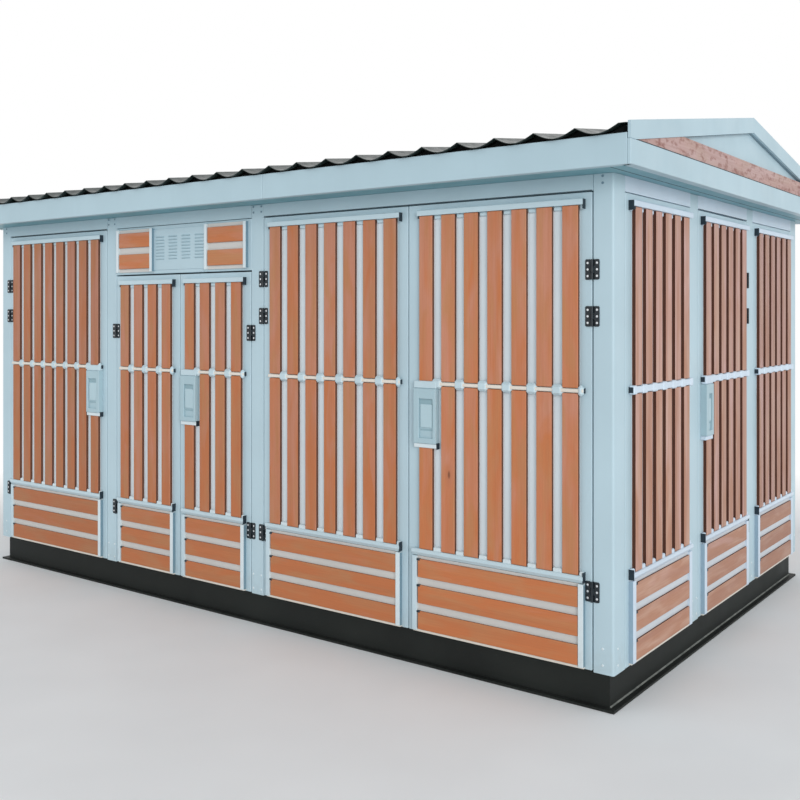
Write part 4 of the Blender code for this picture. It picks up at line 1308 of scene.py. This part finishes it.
def corner_post(word_y, word_x, side_x, side_y):
    """A corner post with a round outer edge, bolted at head and foot."""
    name = f"corner_post_{word_y}_{word_x}"
    shape = Pile()
    outline = []
    for step in range(ARC_STEPS + 1):
        turn = math.radians(90 * step / ARC_STEPS)
        outline.append((
            side_x * (HALF_LENGTH - CORNER_RADIUS + CORNER_RADIUS * math.cos(turn)),
            side_y * (HALF_WIDTH - CORNER_RADIUS + CORNER_RADIUS * math.sin(turn)),
            BASE_HEIGHT + SEAT,
        ))
    inner_x = side_x * (HALF_LENGTH - FRONT_CORNER_LEG)
    inner_y = side_y * (HALF_WIDTH - END_CORNER_LEG)
    foot = BASE_HEIGHT + SEAT
    outline += [
        (inner_x + side_x * POST_EDGE, side_y * HALF_WIDTH, foot),
        (inner_x, side_y * (HALF_WIDTH - POST_EDGE), foot),
        (inner_x, inner_y, foot),
        (side_x * (HALF_LENGTH - POST_EDGE), inner_y, foot),
        (side_x * HALF_LENGTH, inner_y + side_y * POST_EDGE, foot),
    ]
    shape.prism(outline, (0.0, 0.0, SOFFIT - BASE_HEIGHT - 2 * SEAT))
    front_x = inner_x + side_x * CORNER_BOLT_FRONT
    end_y = side_y * (HALF_WIDTH - CORNER_BOLT_END)
    face_y = side_y * HALF_WIDTH
    for drop in POST_BOLT_DROPS:
        shape.bolt((front_x, face_y, SOFFIT - drop), HEAD_BOLT, (0, side_y, 0))
    for level in CORNER_BOLT_LEVELS:
        z = BASE_HEIGHT + level
        shape.bolt((front_x, face_y, z), FOOT_BOLT, (0, side_y, 0))
        shape.bolt((side_x * HALF_LENGTH, end_y, z), FOOT_BOLT, (side_x, 0, 0))
    shape.make(name + "_upright", "painted_steel", [PAINT, PALE, SHADE], None, (name,))


def door_shadow_lines():
    """A black strip on the header's lower edge over each bay whose leaves reach it, as painted shadow in
    the gap.
    """
    for wall, bays in ((FRONT, (0, 2)), (RIGHT, (1,))):
        shape = Pile()
        for index in bays:
            start, end = inside(wall.spans()[index], DOOR_GAP)
            far = (end, SEAT, OPENING_HEIGHT + SHADOW_LINE_HEIGHT)
            shape.box((start, -SHADOW_LINE_PROUD, OPENING_HEIGHT), far, PLATE_EDGE)
        shape.make(wall.name + "_door_shadow_lines", "black_steel", [BLACK_PLASTIC_AND_SHADOW], wall.place)


def pale_corner_lines():
    """A pale strip in the corner between the base's web and its foot, under the end walls."""
    for wall in (LEFT, RIGHT):
        shape = Pile()
        run = wall.half_run - BASE_INSET - LAP
        z = BASE_FLANGE - BASE_HEIGHT
        y = BASE_INSET
        outline = [(-run, y - CORNER_STRIP_WIDTH, z), (-run, y, z), (-run, y, z + CORNER_STRIP_HEIGHT)]
        shape.prism(outline, (2 * run, 0.0, 0.0))
        shape.make(f"base_{wall.name}_dust", "black_steel", [PALE_CORNER], wall.place)


def soffit_seams():
    """The thin dark seam along the soffit under each end's eave."""
    shape = Pile()
    run = ROOF_HALF_WIDTH - FASCIA_THICKNESS - SEAT
    for side in (-1, 1):
        near = HALF_LENGTH + SOFFIT_SEAM_REACH
        x = on_side(side, near, near + SOFFIT_SEAM)
        shape.box((x[0], -run, SOFFIT - SOFFIT_SEAM_PROUD), (x[1], run, SOFFIT + LAP), SEAM_EDGE)
    shape.make("soffit_seams", "black_steel", [BLACK_PLASTIC_AND_SHADOW])


# Roof. A gable's trim has its black line, a painted shadow under the plank, as the second finish.

GABLE_SHADOW_LINE = 1


def wave_lift(x):
    """The sheet's lift at a place along the roof: sharp crests and wide hollows, and level
    from the first crest to the right gable."""
    first = ROOF_HALF_LENGTH - BARGE_THICKNESS - SEAT - FIRST_CREST
    return WAVE_HEIGHT * (1.0 - abs(math.sin(math.pi * (min(x, first) - first) / WAVE_PITCH)))


def wave_stations():
    """Places along the roof, so set that each crest and hollow has one."""
    half = ROOF_HALF_LENGTH - BARGE_THICKNESS - SEAT
    first = half - FIRST_CREST
    step = WAVE_PITCH / WAVE_SEGMENTS
    low = math.ceil((-half - first) / step)
    high = math.floor((half - first) / step)
    places = [-half] + [first + i * step for i in range(low, high + 1)] + [half]
    return [x for i, x in enumerate(places) if i == 0 or x - places[i - 1] > SEAT]


def eave_level():
    """Height of the sheet's upper face in a hollow over the fascia."""
    return SOFFIT + FRONT_FASCIA_HEIGHT + SEAT + ROOF_SHEET


def roof_sheet(word, side):
    """One slope of tile-profile sheet: waves along the eave and a step at every course."""
    eave = ROOF_HALF_WIDTH + SHEET_LIP
    ridge = RIDGE_SPLIT / 2
    rows = []
    reach = eave
    while reach > ridge:
        upper = max(reach - TILE_COURSE, ridge)
        rows.append((reach, 0.0))
        rows.append((upper + LAP, -TILE_STEP * (reach - upper) / TILE_COURSE))
        reach = upper
    shape = Pile()
    stations = wave_stations()
    points = []
    for y, drop in rows:
        for thickness in (0.0, ROOF_SKIN):
            for x in stations:
                z = eave_level() + ROOF_SLOPE * (ROOF_HALF_WIDTH - y) + wave_lift(x) + drop - thickness
                points.append((x, side * y, z))
    across = len(stations)
    faces = []

    def quad(a, b, c, d, outward):
        ring = [a, b, c, d]
        normal = normal_of([points[i] for i in ring])
        faces.append(ring if normal.dot(outward) > 0 else ring[::-1])

    up = Vector((0.0, 0.0, 1.0))
    out = Vector((0.0, side, 0.0))
    step = 2 * across
    for row in range(len(rows) - 1):
        top, bottom = row * step, row * step + across
        outward = out if row % 2 else up
        for i in range(across - 1):
            quad(top + i, top + i + 1, top + step + i + 1, top + step + i, outward)
            quad(bottom + i, bottom + i + 1, bottom + step + i + 1, bottom + step + i, -outward)
        for i, outward in ((0, Vector((-1, 0, 0))), (across - 1, Vector((1, 0, 0)))):
            quad(top + i, bottom + i, bottom + step + i, top + step + i, outward)
    for row, outward in ((0, out), (len(rows) - 1, -out)):
        top, bottom = row * step, row * step + across
        for i in range(across - 1):
            quad(top + i, top + i + 1, bottom + i + 1, bottom + i, outward)
    shape.add(points, faces)
    name = "roof_sheet_" + word
    shape.make(name + "_tiles", "roof_sheet", [ROOF], None, (name,))


def eave_closure(word, side):
    """The foam strip that fills the waves over a long fascia."""
    shape = Pile()
    stations = wave_stations()
    y = side * (ROOF_HALF_WIDTH - CLOSURE_SET_BACK)
    base = SOFFIT + FRONT_FASCIA_HEIGHT + SEAT
    outline = [(x, y, eave_level() + wave_lift(x) - ROOF_SKIN - LAP) for x in stations]
    outline = [(stations[0], y, base)] + outline + [(stations[-1], y, base)]
    shape.prism(outline, (0.0, -side * CLOSURE_THICKNESS, 0.0))
    shape.make(f"{word}_eave_closure", "black_steel", [FOAM])


def add_fold(shape, low, high, lip_low, lip_high):
    """A length of fascia: its face, with a lip turned in at the foot and at the head. The lips
    are given in plan."""
    shape.box(low, high, FOLD_RADIUS)
    for z in (low[2] + SEAT, high[2] - SEAT - PAN_SHEET):
        shape.box((*lip_low, z), (*lip_high, z + PAN_SHEET), PLATE_EDGE)


def long_fascia(word, side):
    """The fascia over a long wall, in two lengths, running to the end fascias' folds."""
    shape = Pile()
    half = ROOF_HALF_LENGTH - END_FASCIA_FOLD - FASCIA_JOINT / 2
    seam = -side * FASCIA_SEAM
    y = on_side(side, ROOF_HALF_WIDTH, ROOF_HALF_WIDTH - END_FASCIA_FOLD)
    lip = on_side(side, ROOF_HALF_WIDTH - FOLD_RADIUS, ROOF_HALF_WIDTH - FASCIA_THICKNESS)
    for start, end in ((-half, seam - FASCIA_JOINT / 2), (seam + FASCIA_JOINT / 2, half)):
        high = (end, y[1], SOFFIT + FRONT_FASCIA_HEIGHT)
        lip_low = (max(start + SEAT, -half + FASCIA_LIP_GAP), lip[0])
        lip_high = (min(end - SEAT, half - FASCIA_LIP_GAP), lip[1])
        add_fold(shape, (start, y[0], SOFFIT), high, lip_low, lip_high)
    shape.make(word + "_fascia_fold", "painted_steel", [EAVE_PAINT], None, (word + "_fascia",))


def end_fascia(word, side):
    """The fascia over an end wall, one fold that closes the corners."""
    shape = Pile()
    x = on_side(side, ROOF_HALF_LENGTH, ROOF_HALF_LENGTH - END_FASCIA_FOLD)
    lip = on_side(side, ROOF_HALF_LENGTH - FOLD_RADIUS, ROOF_HALF_LENGTH - FASCIA_THICKNESS)
    run = ROOF_HALF_WIDTH - FASCIA_THICKNESS
    low = (x[0], -ROOF_HALF_WIDTH, SOFFIT)
    high = (x[1], ROOF_HALF_WIDTH, END_FASCIA_TOP)
    add_fold(shape, low, high, (lip[0], -run), (lip[1], run))
    shape.make(word + "_fascia_fold", "painted_steel", [EAVE_PAINT], None, (word + "_fascia",))


def rake_reach(z, drop):
    """Distance from the middle at which the rake line, lowered by drop, is at height z."""
    return (RIDGE_TOP - drop - z) / ROOF_SLOPE


def gable_plank(word, side):
    """The knotty plank along the gable's foot, its ends cut to the slope."""
    shape = Pile()
    high = GABLE_LOW + GABLE_PLANK_HEIGHT
    x = side * (ROOF_HALF_LENGTH - GABLE_PLANK_SET_BACK)
    ends = [(-1, GABLE_LOW), (1, GABLE_LOW), (1, high), (-1, high)]
    outline = [(x, sign * rake_reach(z, BARGE_HEIGHT + SEAT), z) for sign, z in ends]
    grain = [(z + GABLE_GRAIN_SHIFT * side, 0.0, y) for x, y, z in outline]
    depth = (-side * (GABLE_PLANK_THICKNESS - GABLE_PLANK_SET_BACK), 0.0, 0.0)
    shape.prism(outline, depth, FACE, grain, GABLE_TONE)
    name = word + "_gable_plank"
    shape.make(name + "_board", "timber", [GABLE_TIMBER], None, (name,))


def gable_trim(word, side):
    """The black line under a gable's plank as painted shadow, and the lining over it along both rakes in
    the shade paint as painted shade.
    """
    shape = Pile()
    high = GABLE_LOW + GABLE_PLANK_HEIGHT
    run = rake_reach(GABLE_LOW, BARGE_HEIGHT + SEAT) - GABLE_LINE
    x = on_side(side, ROOF_HALF_LENGTH - LAP, ROOF_HALF_LENGTH - GABLE_LINE_DEPTH)
    shape.box((x[0], -run, GABLE_LOW), (x[1], run, GABLE_LOW + GABLE_LINE), PLATE_EDGE, GABLE_SHADOW_LINE)
    near = side * (ROOF_HALF_LENGTH - BARGE_THICKNESS - SEAT)
    depth = -side * (GABLE_PLANK_THICKNESS - BARGE_THICKNESS - 2 * SEAT)
    peak = RIDGE_TOP - BARGE_HEIGHT
    for half in (-1, 1):
        foot = half * rake_reach(high, BARGE_HEIGHT)
        outline = [(0.0, peak), (foot, high), (foot, high + RAKE_LINING), (0.0, peak + RAKE_LINING)]
        shape.prism([(near, y, z) for y, z in outline], (depth, 0.0, 0.0))
    shape.make(word + "_gable_trim", "painted_steel", [SHADE, BLACK_PLASTIC_AND_SHADOW])


# Finishes on the pieces that stay

def soften(node):
    """A small round on a piece's folded edges."""
    bevel = frame["nodes"][node].modifiers.new("fold", "BEVEL")
    bevel.width = FOLD_RADIUS
    bevel.segments = SOFT_SEGMENTS
    bevel.limit_method = "ANGLE"
    bevel.angle_limit = math.radians(SOFT_ANGLE)


def coat(node, finish):
    """Give a piece that stays one finish."""
    for slot in frame["nodes"][node].material_slots:
        slot.link = "OBJECT"
        slot.material = finish


def finish_frame():
    """Give the pieces that stay their paint, and round their folds."""
    for wall in WALLS:
        coat(wall.name + "_header", wall.dress.header)
        soften(wall.name + "_header")
        coat("base_" + wall.name, BLACK)
        soften("base_" + wall.name)
    coat("floor_plate", BLACK)
    coat("soffit_ceiling", SHADED_SOFFIT_PAINT)
    coat("ridge_cap", ROOF)
    for word in ("left", "right"):
        coat(word + "_gable_sheet", EAVE_PAINT)
        for end in ("front", "back"):
            coat(f"{word}_bargeboard_{end}", EAVE_PAINT)
            soften(f"{word}_bargeboard_{end}")


# Stage

def camera():
    """A level view at eye height, its frame shifted down."""
    data = bpy.data.cameras.new("camera")
    data.sensor_width = CAMERA_SENSOR
    data.lens = CAMERA_LENS
    data.shift_y = CAMERA_SHIFT
    data.clip_end = CAMERA_REACH
    made = put("camera", data)
    made.location = CAMERA_PLACE
    made.rotation_euler = (math.pi / 2, 0.0, math.radians(CAMERA_AZIMUTH))
    scene.camera = made


def world():
    """White to look at, and a plain soft light."""
    made = bpy.data.worlds.new("world")
    made.use_nodes = True
    nodes = Nodes(made.node_tree)
    sky = nodes.tree.nodes["Background"]
    sky.inputs["Color"].default_value = SKY_COLOUR
    sky.inputs["Strength"].default_value = WORLD_LIGHT
    white = nodes.node("Background", {"Color": WHITE, "Strength": 1.0})["Background"]
    inputs = {0: nodes.backdrop_rays(), 1: sky.outputs["Background"], 2: white}
    mixed = nodes.node("MixShader", inputs)["Shader"]
    nodes.link(mixed, nodes.tree.nodes["World Output"].inputs["Surface"])
    scene.world = made


def sun():
    """A soft distant lamp. Azimuth 0 lights the front, 90 the end with the door."""
    data = bpy.data.lights.new("key", "SUN")
    data.energy = SUN_STRENGTH
    data.angle = math.radians(SUN_WIDTH)
    made = put("key", data)
    made.rotation_euler = (math.radians(90.0 - SUN_ELEVATION), 0.0, math.radians(SUN_AZIMUTH))


def floor():
    """A pale floor that keeps the shadow near the object and turns plain white further out."""
    mesh = bpy.data.meshes.new("floor")
    turns = [2 * math.pi * i / FLOOR_SIDES for i in range(FLOOR_SIDES)]
    ring = [(FLOOR_REACH * math.cos(turn), FLOOR_REACH * math.sin(turn), 0.0) for turn in turns]
    mesh.from_pydata(ring, [], [list(range(FLOOR_SIDES))])
    made = put("floor", mesh)
    made.location.z = -FLOOR_DROP
    s = Shader("floor", (0.9, 0.9, 0.9), 0.9, 0.1)
    s.mottle(s.noise(s.place(), 1.5, 2.0), 0.3, 0.7, (0.88, 0.88, 0.88), (0.92, 0.92, 0.92))
    reach = s.node("VectorMath", {0: s.place()}, operation="LENGTH")["Value"]
    amount = s.maths("MULTIPLY", s.ranged(reach, *FLOOR_FADE), s.backdrop_rays())
    white = s.node("Emission")["Emission"]
    mixed = s.node("MixShader", {0: amount, 1: s.principled.outputs["BSDF"], 2: white})["Shader"]
    s.link(mixed, s.tree.nodes["Material Output"].inputs["Surface"])
    mesh.materials.append(s.material)


def main():
    """Set the stage and dress every piece."""
    camera()
    world()
    floor()
    sun()
    finish_frame()
    pale_corner_lines()
    door_shadow_lines()
    soffit_seams()
    for leaf in leaves():
        foot = leaf.gap if leaf.hinge else SEAT
        pan(leaf, foot)
        clad(leaf)
        if leaf.hinge:
            hang(leaf)
        if leaf.lock:
            lock_plate(leaf)
    vent_panel()
    for wall in WALLS:
        posts(wall)
    for word_y, side_y in LONG_SIDES:
        roof_sheet(word_y, side_y)
        eave_closure(word_y, side_y)
        long_fascia(word_y, side_y)
        for word_x, side_x in END_SIDES:
            corner_post(word_y, word_x, side_x, side_y)
    for word, side in END_SIDES:
        end_fascia(word, side)
        gable_plank(word, side)
        gable_trim(word, side)


main()
